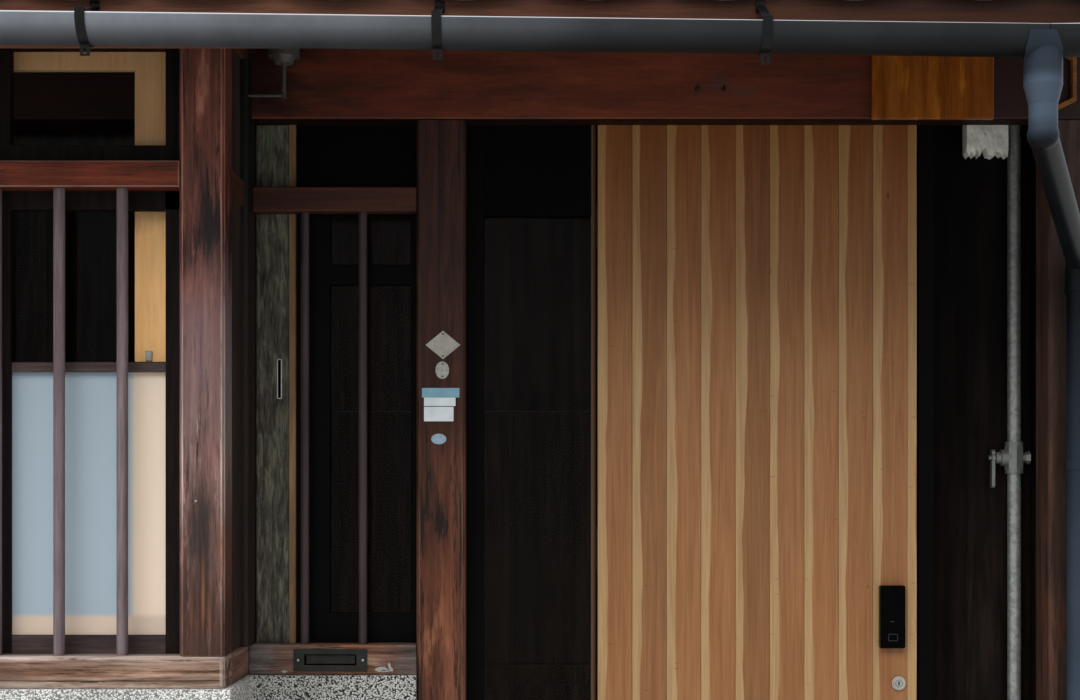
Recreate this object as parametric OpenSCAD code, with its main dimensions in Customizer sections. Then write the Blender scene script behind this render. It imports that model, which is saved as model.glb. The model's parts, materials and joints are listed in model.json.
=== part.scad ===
// Ground-floor street front of a wooden townhouse, in millimetres.
// Working datum: X = 0 at the middle post, Y = 0 at the front of the posts, +Y into the house.
// placed() then moves everything so that the origin is at the bottom centre of the whole part.

/* [Frontage] */
// Width of the middle post
mid_post_w = 122; // [90:1:150]
// Clear width of the middle window bay, left of the middle post
mid_bay_w = 411; // [380:1:700]
// Clear width of the entrance bay, right of the middle post
entrance_w = 1459; // [1400:1:1800]
// Width of the posts at the party walls
end_post_w = 120; // [90:1:150]
// Depth of every post and beam in the front wall
wall_d = 120; // [110:1:150]
// Height of the lowest hinge above the foot of the door
low_hinge = 220; // [150:5:300]
// Distance of the highest hinge below the top of the door
top_hinge = 330; // [200:5:420]
// Clearance between the open door and the rear wall
rear_gap = 10; // [6:1:600]
// Thickness of the plastered party walls
party_t = 75; // [60:1:90]
// Chamfer on the edges of the posts
post_chamfer = 7; // [2:1:12]

/* [Levels] */
// Height of the foundation stones
stone_h = 90; // [50:5:150]
// Top of the stone threshold
threshold_h = 120; // [100:5:160]
// Top of the pebble-dash bases
base_h = 1025; // [700:5:1200]
// Height of the timber sills
sill_h = 75; // [50:1:100]
// Underside of the front rails
rail_z = 2186; // [2000:1:2300]
// Height of the front rails
rail_h = 61; // [45:1:80]
// Thickness of the bay's front rail
bay_rail_t = 60; // [40:1:80]
// Underside of the main beam
beam_z = 2414; // [2350:1:2500]
// Height of the main beam
beam_h = 312; // [200:2:360]

/* [Bay window] */
// Outer width of the projecting bay
bay_w = 1060; // [900:5:1400]
// Width of the two end spaces beside the bay's bars together, in spacings of the bars
bay_bar_ends = 1.78; // [1.5:0.01:2.5]
// Projection of the bay in front of the posts
bay_out = 326; // [250:2:400]
// Size of the bay's square corner posts
bay_post = 105; // [80:1:120]
// Height of the head rail of the bay
bay_head_h = 45; // [30:1:60]
// Diameter of the round bars in front of the bay
bay_bar_d = 26.5; // [15:0.5:35]
// Number of round bars in front of the bay
bay_bar_n = 5; // [3:1:7]
// Distance of the sashes behind the front of the bay
sash_set = 70; // [50:1:90]
// Thickness of the sashes
sash_t = 30; // [24:1:36]
// Width of the sash stiles
sash_stile = 28; // [20:1:45]
// Height of the bottom rail of the lower sash
sash_bottom = 44; // [30:1:60]
// Underside of the middle rail of the lower sash
sash_mid_z = 1763; // [1500:1:1900]
// Height of the middle rail of the lower sash
sash_mid_h = 24; // [18:1:40]
// Height of the bottom rail of the upper sash
upper_bottom = 49; // [30:1:60]
// Width of the mullion of the upper sash
mullion_w = 26; // [20:1:50]
// Thickness of the window glass
glass_t = 5; // [3:0.5:8]
// Thickness of the light-wood frame behind the sashes
inner_t = 24; // [18:1:30]
// Width of the stiles of the light-wood frame
inner_stile = 129; // [80:1:150]
// Height of the bottom rail of the light-wood frame
inner_bottom = 89; // [50:1:120]
// Top rail of the light-wood inner frame of the bay
inner_top = 67; // [40:1:90]
// Thickness of the boards on the sides of the bay
side_board_t = 30; // [20:1:40]
// Width of the bay's back post that shows beside the bay
back_post_show = 9; // [4:1:30]

/* [Middle window] */
// Diameter of the round bars in front of the middle window
mid_bar_d = 21.5; // [15:0.5:30]
// Spacing of the round bars in front of the middle window
mid_bar_pitch = 146; // [100:1:170]
// Distance of the first round bar from the middle post
mid_bar_x = 137; // [80:1:170]
// Thickness of the middle rail
mid_rail_t = 50; // [40:1:70]
// Setback of the middle rail behind the post
mid_rail_set = 6; // [2:1:20]
// Width of the rough panel beside the window
panel_w = 84; // [60:1:140]
// Thickness of the rough panel
panel_t = 30; // [20:1:40]
// Setback of the rough panel behind the front of the posts
panel_set = 62; // [50:1:80]
// Width of the light-wood strip beside the panel
trim_w = 17; // [10:1:30]
// Width of the left stile of the window frame
frame_stile = 85; // [50:1:110]
// Width of the right stile of the window frame
frame_stile_r = 20; // [15:1:60]
// Height of the bottom rail of the window frame
frame_bottom = 76; // [50:1:100]
// Underside of the bar across the window
frame_mid_z = 2011; // [1700:1:2100]
// Height of the bar across the window
frame_mid_h = 51; // [30:1:70]

/* [Letter slot] */
// Width of the frame of the letter slot
slot_frame_w = 184; // [160:1:220]
// Height of the frame of the letter slot
slot_frame_h = 54; // [44:1:64]
// Width of the slot
slot_w = 139; // [110:1:150]
// Height of the slot
slot_h = 29; // [22:1:34]
// Distance of the slot's middle from the middle post
slot_x = 215; // [150:1:240]
// Radius of the pin of the flap
flap_pin_r = 1.5; // [1:0.1:2]

/* [Entrance] */
// Depth of the beam in front of the door and panels
beam_lip = 70; // [50:1:90]
// Height of the rebate behind the beam's lip
rebate_h = 30; // [20:1:45]
// Gap between the moving door and what is beside it
door_gap = 5; // [5:0.5:8]
// Width of one door board
board_w = 87.5; // [70:0.5:110]
// Number of door boards
board_n = 9; // [5:1:9]
// Width of the door's closing stile
door_stile = 24; // [16:1:60]
// Thickness of the door boards
board_t = 18; // [12:1:24]
// Thickness of the frame behind the door boards
ledge_t = 22; // [18:1:30]
// Width of the jamb beside the middle post
jamb_w = 45; // [30:1:70]
// Width of the mullion on which the door hangs
hang_w = 12; // [10:1:40]
// Width of the fixed light beside the door
light_w = 272; // [200:1:400]
// Width of the jamb at the lock side
lock_jamb_w = 40; // [30:1:70]
// Underside of the black board above the fixed light
light_top = 2186; // [1900:1:2300]
// Radius of the hinge knuckles
knuckle_r = 7; // [6:0.5:9]
// Radius of the hinge pins
hinge_pin_r = 3.5; // [3:0.5:5]
// Length of a door hinge
hinge_len = 110; // [80:5:150]
// Width of the lock unit
lock_w = 64; // [50:1:80]
// Height of the lock unit
lock_h = 159; // [120:1:190]
// Projection of the lock unit
lock_out = 20; // [12:1:28]
// Bottom of the lock unit
lock_z = 1087; // [1050:1:1300]
// Diameter of the lock cylinder
cylinder_d = 35; // [28:1:42]
// Height of the lock cylinder's axis
cylinder_z = 997; // [900:1:1040]

/* [Floor above] */
// Thickness of the floor boards above the room
ceiling_t = 24; // [15:1:36]
// Width of the joists under the floor boards
joist_w = 60; // [45:1:90]
// Height of the joists under the floor boards
joist_h = 105; // [80:1:118]
// Number of joists
joist_n = 5; // [3:1:8]

/* [Board wall and gas pipe] */
// Height of the rails behind the dark boards and the rear wall
ledger_h = 60; // [40:1:100]
// Thickness of the rails behind the dark boards and the rear wall
ledger_t = 30; // [20:1:40]
// Share of the board wall's width that lies left of the plaster
plaster_share = 0.35; // [0.1:0.05:0.6]
// Height of the plaster that shows under the beam
plaster_h = 67; // [30:1:120]
// Setback of the dark boards behind the front of the posts
boards_set = 168; // [166:1:200]
// Thickness of the dark boards
boards_t = 18; // [12:1:24]
// Outer diameter of the gas pipe
gas_d = 34; // [21:0.5:34]
// Distance of the gas pipe from the right post
gas_x = 48; // [40:1:120]
// Height of the gas cock's axis
cock_z = 1572; // [1200:5:1800]
// Height of the lower pipe clip above the threshold
clip_low = 180; // [120:10:300]
// Height of the upper pipe clip above the lower one
clip_step = 520; // [300:10:560]
// Length of the lever below the axis of the gas cock
lever_len = 69; // [60:1:100]
// Length of the lever above the axis of the gas cock
lever_tail = 12; // [8:1:13]

/* [Eave] */
// Rise of the roof for each millimetre of run
roof_slope = 0.4; // [0.3:0.01:0.5]
// Distance of the fascia in front of the posts
fascia_out = 630; // [500:5:700]
// Thickness of the fascia
fascia_t = 28; // [20:1:40]
// Height of the fascia
fascia_h = 100; // [80:1:120]
// Square size of the rafters
rafter = 45; // [36:1:60]
// Number of rafters
rafter_n = 12; // [8:1:16]
// Thickness of the roof boards
deck_t = 12; // [9:1:18]
// Thickness of the tiles at their front edge
tile_t = 30; // [24:1:50]
// Number of tile courses
tile_n = 4; // [3:1:6]
// Thickness of the flat tiles that cap the roof against the wall above
cap_t = 15; // [12:1:25]
// Depth of the capping tiles
cap_w = 150; // [110:5:200]

/* [Gutter] */
// Distance of the gutter's middle in front of the posts
gutter_out = 700; // [620:2:760]
// Outer radius of the half-round gutter
gutter_r = 52; // [45:1:60]
// Thickness of the gutter
gutter_t = 3; // [2:0.5:4]
// Radius of the bead on the gutter's front edge
bead_r = 5; // [3:0.5:7]
// Rim height of the gutter at its lowest point
gutter_z = 2440; // [2380:1:2500]
// Fall of the gutter in millimetres for each millimetre
gutter_fall = 0.0125; // [0.005:0.0005:0.02]
// Distance of the collector from the right end of the front
collector_x = 339; // [300:1:420]
// Diameter of the outlet hole in the bottom of the gutter
outlet_d = 44; // [30:1:50]
// Width of the collector
collector_w = 80; // [70:1:100]
// Height of the collector
collector_h = 111; // [90:1:140]
// Outer diameter of the downpipe
down_d = 60; // [50:1:60]
// Distance of the downpipe from the right end of the front
down_x = 63; // [50:1:70]
// Height at which the downpipe turns straight down
down_z = 2049; // [1900:1:2150]
// Width of the bracket straps
strap_w = 20; // [15:1:30]

/* [Fittings] */
// Width of the varnished board on the beam
sign_w = 304; // [200:2:400]
// Height of the varnished board
sign_h = 230; // [150:2:280]
// Thickness of the varnished board
sign_t = 17; // [12:1:24]
// Distance of the varnished board from the right post
sign_x = 141; // [60:1:300]
// Width of the octagonal frame
octagon_w = 100; // [80:1:130]
// Height of the octagonal frame
octagon_h = 155; // [100:1:180]
// Cut of the octagonal frame's corners, sideways
octagon_cut = 44; // [20:1:48]
// Width of the octagonal frame's bars
octagon_bar = 10; // [6:1:16]
// Thickness of the octagonal frame
octagon_t = 20; // [12:1:26]
// Height of the porcelain fitting's arm above the beam's underside
fitting_z = 48; // [30:1:80]
// Height of the porcelain fitting's stem
fitting_stem = 78; // [60:1:90]
// Diameter of the porcelain fitting's cap
fitting_d = 78; // [60:1:90]
// Height of the porcelain fitting's cap
fitting_cap = 36; // [24:1:44]

/* [Hidden] */
$fn = 48;
eps = 0.01;
touch_gap = 0.3;
x_post_l = -mid_post_w / 2;
x_post_r = mid_post_w / 2;
x_mid_l = x_post_l - mid_bay_w;
x_bay_r = x_mid_l - back_post_show;
x_bay_l = x_bay_r - bay_w;
x_left = x_bay_l - end_post_w;
x_right_post = x_post_r + entrance_w;
x_right = x_right_post + end_post_w;
back_post_out = 60;
side_rail_w = 80;
sill_z = base_h + sill_h;
rail_top = rail_z + rail_h;
beam_top = beam_z + beam_h;
render_out = 16;
base_t = 120;
stone_lip = 20;
stone_side = 30;
stone_w = end_post_w + 60;
bay_in_l = x_bay_l + bay_post;
bay_in_r = x_bay_r - bay_post;
bay_mid = (x_bay_l + x_bay_r) / 2;
bay_head_z = rafter_under(bay_out) - bay_head_h;
sash_y = -bay_out + sash_set;
door_y = beam_lip + door_gap + 1;
door_t = board_t + ledge_t;
frame_y = beam_lip + 6;
frame_t = 40;
head_z = beam_z + rebate_h;
x_hang = x_post_r + jamb_w + light_w;
x_door = x_hang + hang_w + door_gap;
door_w = board_n * board_w + door_stile;
door_z = threshold_h + 8;
door_top = head_z - door_gap - 3;
x_lock_jamb = x_door + door_w + door_gap;
knuckle_x = x_door - door_gap / 2;
knuckle_y = door_y + door_t + 1 + knuckle_r;
leaf_t = 2;
hinge_z = [door_z + low_hinge, (door_z + door_top) / 2, door_top - top_hinge];
pin_play = 0.08;
slot_mid_x = x_post_l - slot_x;
slot_mid_z = base_h + sill_h / 2;
flap_t = 3;
flap_gap = 1.2;
flap_clear = 5;
flap_axis_z = slot_mid_z + slot_h / 2 - flap_pin_r - flap_gap - 1;
flap_y = 6;
gas_px = x_right_post - gas_x;
gas_y = wall_d + 4 + gas_d / 2;
gas_wall = 3;
clip_z = [threshold_h + clip_low, threshold_h + clip_low + clip_step];
lever_t = 8;
cock_d = 50;
cock_h = 58;
collar_h = 12;
cock_spindle = cock_d / 2 + 26;
spindle_d = 12;
ground_rail_h = 105;
x_collector = x_right - collector_x;
x_down = x_right - down_x;
down_y = -down_d / 2 - 30;
down_end = 60;
strap_t = 3;
bracket_at = [583, 1267, 2003, 2713];
pipe_wall = 3;
fitting_x = 87;
fitting_y = 48;
swing_r = norm([door_w + door_gap / 2, door_t + 1 + knuckle_r]);
party_d = ceil(knuckle_y + swing_r + rear_gap) + wall_d;
gutter_front = gutter_out + gutter_r;
fascia_top = rafter_under(fascia_out) + rafter + deck_t;
mid_x = (x_left + x_right) / 2;
mid_y = (party_d - gutter_front) / 2;

// Underside of the rafters at a distance in front of the posts
function rafter_under(out) = beam_top - out * roof_slope;

// Rim height of the gutter at x, falling to the collector from both sides
function rim_z(x) = gutter_z + abs(x - x_collector) * gutter_fall;

module placed() {
    translate([-mid_x, -mid_y, 0]) children();
}

// A block between pairs of limits
module block(x, y, z) {
    translate([x[0], y[0], z[0]]) cube([x[1] - x[0], y[1] - y[0], z[1] - z[0]]);
}

// An upright post with chamfered edges
module post(x, y, z, c = post_chamfer) {
    translate([0, 0, z[0]]) linear_extrude(z[1] - z[0])
        polygon([[x[0] + c, y[0]], [x[1] - c, y[0]], [x[1], y[0] + c], [x[1], y[1] - c],
            [x[1] - c, y[1]], [x[0] + c, y[1]], [x[0], y[1] - c], [x[0], y[0] + c]]);
}

// A flat frame with stiles, rails and cross bars; panes is a list of [x0, x1, z0, z1]
module paned_frame(x, y, z, panes) {
    difference() {
        block(x, y, z);
        for (p = panes) block([p[0], p[1]], [y[0] - 1, y[1] + 1], [p[2], p[3]]);
    }
}

// Glass held in the middle of a frame's depth
module pane(p, y, t = glass_t) {
    mid = (y[0] + y[1]) / 2;
    block([p[0], p[1]], [mid - t / 2, mid + t / 2], [p[2], p[3]]);
}

module foundation_stones() color("dimgray") placed() {
    for (x = [x_left, x_right - stone_w]) for (y = [[0, wall_d + stone_lip], [party_d - wall_d - stone_lip, party_d]])
        block([x, x + stone_w], y, [0, stone_h]);
    block([x_post_l - stone_side, x_post_r + stone_side], [-stone_lip, wall_d + stone_lip], [0, stone_h]);
}

module threshold() color("gray") placed()
    block([x_post_r + stone_side, x_right - stone_w], [-10, boards_set + boards_t], [0, threshold_h]);

module bay_base_front() color("silver") placed()
    block([x_bay_l - render_out, x_bay_r + render_out], [-bay_out - render_out, -bay_out + base_t], [0, base_h]);

module bay_base_sides() color("silver") placed() {
    block([x_bay_r + render_out - base_t, x_bay_r + render_out], [-bay_out + base_t, wall_d], [0, base_h]);
    block([x_bay_l - render_out, x_bay_l - render_out + base_t], [-bay_out + base_t, 0], [0, base_h]);
}

module middle_base() color("silver") placed() {
    block([x_bay_r + render_out, x_post_l - stone_side], [-render_out, wall_d], [0, base_h]);
    block([x_post_l - stone_side - eps, x_post_l], [-render_out, wall_d], [stone_h, base_h]);
}

module bay_sill() color("sienna") placed()
    translate([0, 0, base_h]) linear_extrude(sill_h)
        polygon([[x_bay_l, -bay_out + post_chamfer], [x_bay_l + post_chamfer, -bay_out],
            [x_bay_r - post_chamfer, -bay_out], [x_bay_r, -bay_out + post_chamfer],
            [x_bay_r, -bay_out + bay_post], [x_bay_l, -bay_out + bay_post]]);

module bay_side_sills() color("sienna") placed() {
    block([x_bay_r - bay_post, x_bay_r], [-bay_out + bay_post, wall_d], [base_h, sill_z]);
    block([x_bay_l, x_bay_l + bay_post], [-bay_out + bay_post, wall_d], [base_h, sill_z]);
}

module middle_sill() color("sienna") placed() difference() {
    block([x_bay_r, x_post_l], [0, wall_d], [base_h, sill_z]);
    block([slot_mid_x - slot_w / 2, slot_mid_x + slot_w / 2], [-1, wall_d + 1],
        [slot_mid_z - slot_h / 2, slot_mid_z + slot_h / 2]);
}

module bay_posts() color("brown") placed() {
    for (x = [x_bay_l, x_bay_r - bay_post])
        post([x, x + bay_post], [-bay_out, -bay_out + bay_post], [sill_z, bay_head_z]);
    difference() {
        for (x = [x_bay_l, x_mid_l - bay_post])
            post([x, x + bay_post], [-back_post_out, wall_d / 2], [sill_z, bay_head_z]);
        block([x_left, x_right], [0, wall_d], [beam_z, beam_top]);
    }
}

module middle_post() color("brown") placed()
    post([x_post_l, x_post_r], [0, wall_d], [stone_h, beam_z]);

module party_posts() color("brown") placed() {
    for (x = [x_left, x_right_post]) {
        post([x, x + end_post_w], [0, wall_d], [stone_h, beam_z]);
        post([x, x + end_post_w], [party_d - wall_d, party_d], [stone_h, beam_top - wall_d]);
    }
}

// A bar along X whose top follows the underside of the rafters, from out0 to out1 in front of the posts
module under_roof(x, out0, out1, z) {
    translate([x[0], 0, 0]) rotate([90, 0, 90]) linear_extrude(x[1] - x[0])
        polygon([[-out0, z], [-out1, z], [-out1, rafter_under(out1)], [-out0, rafter_under(out0)]]);
}

module main_beam() color("brown") placed() difference() {
    under_roof([x_left, x_right], 0, -wall_d, beam_z);
    block([x_mid_l, x_post_l], [beam_lip, wall_d + 1], [beam_z - 1, head_z]);
    block([x_post_r, x_right_post], [beam_lip, wall_d + 1], [beam_z - 1, head_z]);
}

module bay_head_rail() color("brown") placed()
    under_roof([x_bay_l, x_bay_r], bay_out, bay_out - bay_post, bay_head_z);

module bay_side_rails() color("brown") placed() {
    for (x = [x_bay_l, x_bay_r - side_rail_w]) {
        block([x, x + side_rail_w], [-bay_out + bay_post, -back_post_out], [rail_z, rail_top]);
        under_roof([x, x + side_rail_w], bay_out - bay_post, 0, bay_head_z);
    }
}

module bay_rail() color("brown") placed()
    block([bay_in_l, bay_in_r], [-bay_out + 2, -bay_out + 2 + bay_rail_t], [rail_z, rail_top]);

module middle_rail() color("brown") placed()
    block([x_mid_l, x_post_l], [mid_rail_set, mid_rail_set + mid_rail_t], [rail_z, rail_top]);

module window_bars() color("dimgray") placed() {
    pitch = (bay_in_r - bay_in_l) / (bay_bar_n - 1 + bay_bar_ends);
    for (i = [0 : bay_bar_n - 1])
        translate([bay_in_r - (i + 0.53 * bay_bar_ends) * pitch, -bay_out + 2 + bay_rail_t / 2, sill_z])
            cylinder(d = bay_bar_d, h = rail_z - sill_z);
    for (i = [0, 1])
        translate([x_post_l - mid_bar_x - i * mid_bar_pitch, mid_rail_set + mid_rail_t / 2, sill_z])
            cylinder(d = mid_bar_d, h = rail_z - sill_z);
}

function lower_panes(z0, z1) = [
    [bay_in_l + sash_stile, bay_mid - sash_stile / 2, z0, z1],
    [bay_mid + sash_stile / 2, bay_in_r - sash_stile, z0, z1]];

frosted = lower_panes(sill_z + sash_bottom, sash_mid_z);
clear_low = lower_panes(sash_mid_z + sash_mid_h, rail_top - 20);
upper_panes = [
    [bay_in_l + sash_stile, bay_mid - mullion_w / 2, rail_top + upper_bottom, bay_head_z - sash_stile],
    [bay_mid + mullion_w / 2, bay_in_r - sash_stile, rail_top + upper_bottom, bay_head_z - sash_stile]];
sash_limits = [sash_y, sash_y + sash_t];

module bay_lower_sash() color("black") placed()
    paned_frame([bay_in_l, bay_in_r], sash_limits, [sill_z, rail_top], concat(frosted, clear_low));

module bay_frosted_glass() color("lightsteelblue") placed()
    for (p = frosted) pane(p, sash_limits);

module bay_upper_sash() color("black") placed()
    paned_frame([bay_in_l, bay_in_r], sash_limits, [rail_top, bay_head_z], upper_panes);

window_y = [panel_set + 8, panel_set + 8 + frame_t];
x_window = x_mid_l + panel_w + trim_w;
window_panes = [
    [x_window + frame_stile, x_post_l - frame_stile_r, sill_z + frame_bottom, frame_mid_z],
    [x_window + frame_stile, x_post_l - frame_stile_r, frame_mid_z + frame_mid_h, rail_top - 30]];
light_pane = [x_post_r + jamb_w, x_hang, threshold_h + 60, light_top];
entrance_y = [frame_y, frame_y + frame_t];

module clear_glass() color("lightblue") placed() {
    for (p = concat(clear_low, upper_panes)) pane(p, sash_limits);
    for (p = window_panes) pane(p, window_y);
    pane(light_pane, entrance_y);
}

module bay_inner_frame() color("burlywood") placed() {
    y = [sash_y + sash_t + 12, sash_y + sash_t + 12 + inner_t];
    paned_frame([bay_in_l, bay_in_r], y, [sill_z, bay_head_z], [
        [bay_in_l + inner_stile, bay_in_r - inner_stile, sill_z + inner_bottom, bay_head_z - inner_top]]);
}

module bay_side_boards() color("dimgray") placed() {
    for (x = [x_bay_l + 10, x_bay_r - 10 - side_board_t]) {
        block([x, x + side_board_t], [-bay_out + bay_post, -back_post_out], [sill_z, rail_z]);
        block([x, x + side_board_t], [-bay_out + bay_post, -back_post_out], [rail_top, bay_head_z]);
    }
}

module rough_panel() color("darkslategray") placed()
    block([x_mid_l, x_mid_l + panel_w], [panel_set, panel_set + panel_t], [sill_z, beam_z]);

module trim_strip() color("burlywood") placed()
    block([x_mid_l + panel_w, x_window], [panel_set - 4, panel_set + panel_t], [sill_z, beam_z]);

module middle_window_frame() color("black") placed()
    paned_frame([x_window, x_post_l], window_y, [sill_z, rail_top], window_panes);

module transom_boards() color("black") placed() {
    block([x_window, x_post_l], window_y, [rail_top, head_z]);
    block([x_post_r + jamb_w, x_hang], entrance_y, [light_top, head_z]);
}

module entrance_frame() color("black") placed() {
    block([x_post_r, x_post_r + jamb_w], entrance_y, [threshold_h, head_z]);
    block([x_hang, x_hang + hang_w], [frame_y, door_y + door_t], [threshold_h, head_z]);
    block([x_lock_jamb, x_lock_jamb + lock_jamb_w], [frame_y, boards_set], [threshold_h, head_z]);
    block([x_post_r + jamb_w, x_hang], entrance_y, [threshold_h, threshold_h + 60]);
}

// One hinge knuckle, from z and h high
module knuckle(z, h) {
    translate([knuckle_x, knuckle_y, z]) cylinder(r = knuckle_r, h = h);
}

module frame_hinge_leaves() color("gray") placed() {
    third = hinge_len / 3;
    for (z = hinge_z) {
        block([x_hang + hang_w, x_hang + hang_w + leaf_t], [door_y + 8, knuckle_y - knuckle_r - 1.5],
            [z, z + hinge_len]);
        for (k = [z, z + 2 * third]) {
            knuckle(k, third - 0.4);
            block([x_hang + hang_w, x_hang + hang_w + leaf_t], [door_y + 8, knuckle_y], [k, k + third - 0.4]);
        }
        translate([knuckle_x, knuckle_y, z]) cylinder(r = hinge_pin_r, h = hinge_len - 0.4);
    }
}

module door_hinge_leaves() color("gray") placed() {
    third = hinge_len / 3;
    for (z = hinge_z) difference() {
        union() {
            block([x_door - leaf_t, x_door], [door_y + 8, knuckle_y - knuckle_r - 1.5], [z, z + hinge_len]);
            knuckle(z + third, third - 0.4);
            block([x_door - leaf_t, x_door], [door_y + 8, knuckle_y], [z + third, z + 2 * third - 0.4]);
        }
        translate([knuckle_x, knuckle_y, z - 1]) cylinder(r = hinge_pin_r + pin_play, h = hinge_len + 2);
    }
}

module door_boards() color("peru") placed() difference() {
    block([x_door, x_door + door_w], [door_y, door_y + board_t], [door_z, door_top]);
    for (i = [1 : board_n])
        block([x_door + i * board_w - 0.75, x_door + i * board_w + 0.75], [door_y - 1, door_y + 3],
            [door_z - 1, door_top + 1]);
}

module door_ledges() color("peru") placed() {
    y = [door_y + board_t, door_y + door_t];
    x = [x_door, x_door + door_w];
    bay_z = (door_top - door_z) / 3;
    paned_frame(x, y, [door_z, door_top], [for (i = [0 : 2])
        [x[0] + 90, x[1] - 90, door_z + i * bay_z + 60, door_z + (i + 1) * bay_z - 60]]);
}

module lock_unit() color("black") placed() {
    r = 5;
    x0 = x_door + door_w - door_stile - 9 - lock_w;
    translate([x0, door_y, lock_z]) rotate([90, 0, 0]) linear_extrude(lock_out)
        union() {
            translate([r, 0]) square([lock_w - 2 * r, lock_h]);
            translate([0, r]) square([lock_w, lock_h - 2 * r]);
            for (x = [r, lock_w - r]) for (z = [r, lock_h - r]) translate([x, z]) circle(r);
        }
}

module lock_cylinder() color("silver") placed()
    translate([x_door + door_w - 47, door_y, cylinder_z]) rotate([90, 0, 0]) {
        cylinder(d = cylinder_d, h = 6);
        cylinder(d = cylinder_d - 10, h = 9);
    }

module letter_frame() color("gray") placed() {
    x = [slot_mid_x - slot_frame_w / 2, slot_mid_x + slot_frame_w / 2];
    ear = 4;
    difference() {
        block(x, [-4, 0], [slot_mid_z - slot_frame_h / 2, slot_mid_z + slot_frame_h / 2]);
        block([slot_mid_x - slot_w / 2, slot_mid_x + slot_w / 2], [-5, 1],
            [slot_mid_z - slot_h / 2, slot_mid_z + slot_h / 2]);
    }
    for (s = [-1, 1]) difference() {
        translate([slot_mid_x + s * (slot_w / 2 - ear / 2) - ear / 2, -4, slot_mid_z - slot_h / 2])
            cube([ear, flap_y + 8, slot_h]);
        translate([slot_mid_x + s * (slot_w / 2 - ear / 2) - ear, flap_y, flap_axis_z]) rotate([0, 90, 0])
            cylinder(r = flap_pin_r + pin_play, h = 2 * ear);
    }
}

module letter_flap() color("darkslategray") placed() {
    half = slot_w / 2 - 4 - flap_clear;
    block([slot_mid_x - half, slot_mid_x + half], [flap_y - flap_t / 2, flap_y + flap_t / 2],
        [slot_mid_z - slot_h / 2 + flap_clear, flap_axis_z]);
    translate([slot_mid_x - slot_w / 2 + 0.5, flap_y, flap_axis_z]) rotate([0, 90, 0])
        cylinder(r = flap_pin_r, h = slot_w - 1);
}

module board_wall() color("black") placed() {
    back = boards_set + boards_t;
    block([x_lock_jamb, x_right_post], [boards_set, back], [threshold_h, beam_top]);
    block([x_right_post - eps, x_right_post + (end_post_w - party_t) / 2], [wall_d, back],
        [stone_h + ground_rail_h, beam_top - wall_d]);
    for (z = [threshold_h + 200, beam_top - ledger_h - 50])
        block([x_lock_jamb + lock_jamb_w, x_right_post], [back - eps, back + ledger_t], [z, z + ledger_h]);
}

module gas_pipe() color("silver") placed() {
    difference() {
        union() {
            translate([gas_px, gas_y, threshold_h]) cylinder(d = gas_d, h = beam_top - threshold_h);
            for (z = clip_z) {
                translate([gas_px, gas_y, z]) cylinder(d = gas_d + 5, h = 22);
                block([gas_px - 30, gas_px + 30], [boards_set - 4, boards_set], [z, z + 22]);
                block([gas_px - gas_d / 2, gas_px + gas_d / 2], [gas_y, boards_set], [z, z + 22]);
            }
        }
        translate([gas_px, gas_y, threshold_h - 1]) cylinder(d = gas_d - 2 * gas_wall, h = beam_h + beam_top);
    }
}

module gas_cock() color("gray") placed() translate([gas_px, gas_y, cock_z]) difference() {
    union() {
        translate([0, 0, -cock_h / 2]) cylinder(d = cock_d, h = cock_h, $fn = 8);
        for (z = [-cock_h / 2 - collar_h, cock_h / 2 - 4]) translate([0, 0, z])
            cylinder(d = gas_d + 12, h = collar_h + 4);
        rotate([0, -90, 0]) {
            cylinder(d = 42, h = cock_d / 2 + 10);
            cylinder(d = 30, h = cock_spindle - 3);
            cylinder(d = spindle_d, h = cock_spindle + lever_t + 6);
        }
        rotate([0, 90, 0]) {
            cylinder(d = 24, h = cock_d / 2 + 8);
            translate([0, 0, cock_d / 2 + 3]) cylinder(d1 = 26, d2 = 36, h = 11, $fn = 6);
        }
    }
    translate([0, 0, -cock_h]) cylinder(d = gas_d, h = 2 * cock_h);
}

module gas_lever() color("gray") placed() translate([gas_px - cock_spindle, gas_y, cock_z])
    rotate([0, -90, 0]) difference() {
        union() {
            cylinder(d = 26, h = lever_t);
            translate([-lever_len, -9, 0]) cube([lever_len + lever_tail, 18, lever_t]);
            for (x = [-lever_len, lever_tail]) translate([x, 0, 0]) cylinder(r = 9, h = lever_t);
        }
        translate([0, 0, -1]) cylinder(d = spindle_d + 2 * pin_play, h = lever_t + 2);
    }

module plaster_remnant() color("lightgray") placed() {
    x = x_lock_jamb + lock_jamb_w;
    block([x + plaster_share * (x_right_post - x), gas_px - gas_d / 2 - 3], [wall_d, boards_set],
        [beam_z - plaster_h, beam_z + 60]);
}

module varnished_board() color("goldenrod") placed()
    block([x_right_post - sign_x - sign_w, x_right_post - sign_x], [-sign_t, 0], [beam_z - 2, beam_z - 2 + sign_h]);

// A frame with cut corners on the beam, near the right post
module octagonal_frame() color("burlywood") placed()
    translate([x_right_post - 36, 0, beam_z + 21]) rotate([90, 0, 0]) linear_extrude(octagon_t) difference() {
        octagon(octagon_w, octagon_h, octagon_cut);
        translate([octagon_bar, octagon_bar])
            octagon(octagon_w - 2 * octagon_bar, octagon_h - 2 * octagon_bar, octagon_cut - octagon_bar / 2);
    }

module octagon(w, h, cut) {
    rise = cut / 2;
    polygon([[cut, 0], [w - cut, 0], [w, rise], [w, h - rise], [w - cut, h], [cut, h], [0, h - rise], [0, rise]]);
}

module porcelain_fitting() color("white") placed() translate([x_mid_l, -fitting_y, beam_z + fitting_z]) {
    rotate([0, 90, 0]) cylinder(d = 8, h = fitting_x + 4);
    translate([fitting_x, 0, 0]) {
        translate([0, 0, -6]) cylinder(d = 11, h = fitting_stem + 7);
        translate([0, 0, fitting_stem]) cylinder(d1 = fitting_d * 0.56, d2 = fitting_d * 0.8, h = 18);
        translate([0, 0, fitting_stem + 18]) cylinder(d = fitting_d, h = fitting_cap);
    }
}

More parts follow.
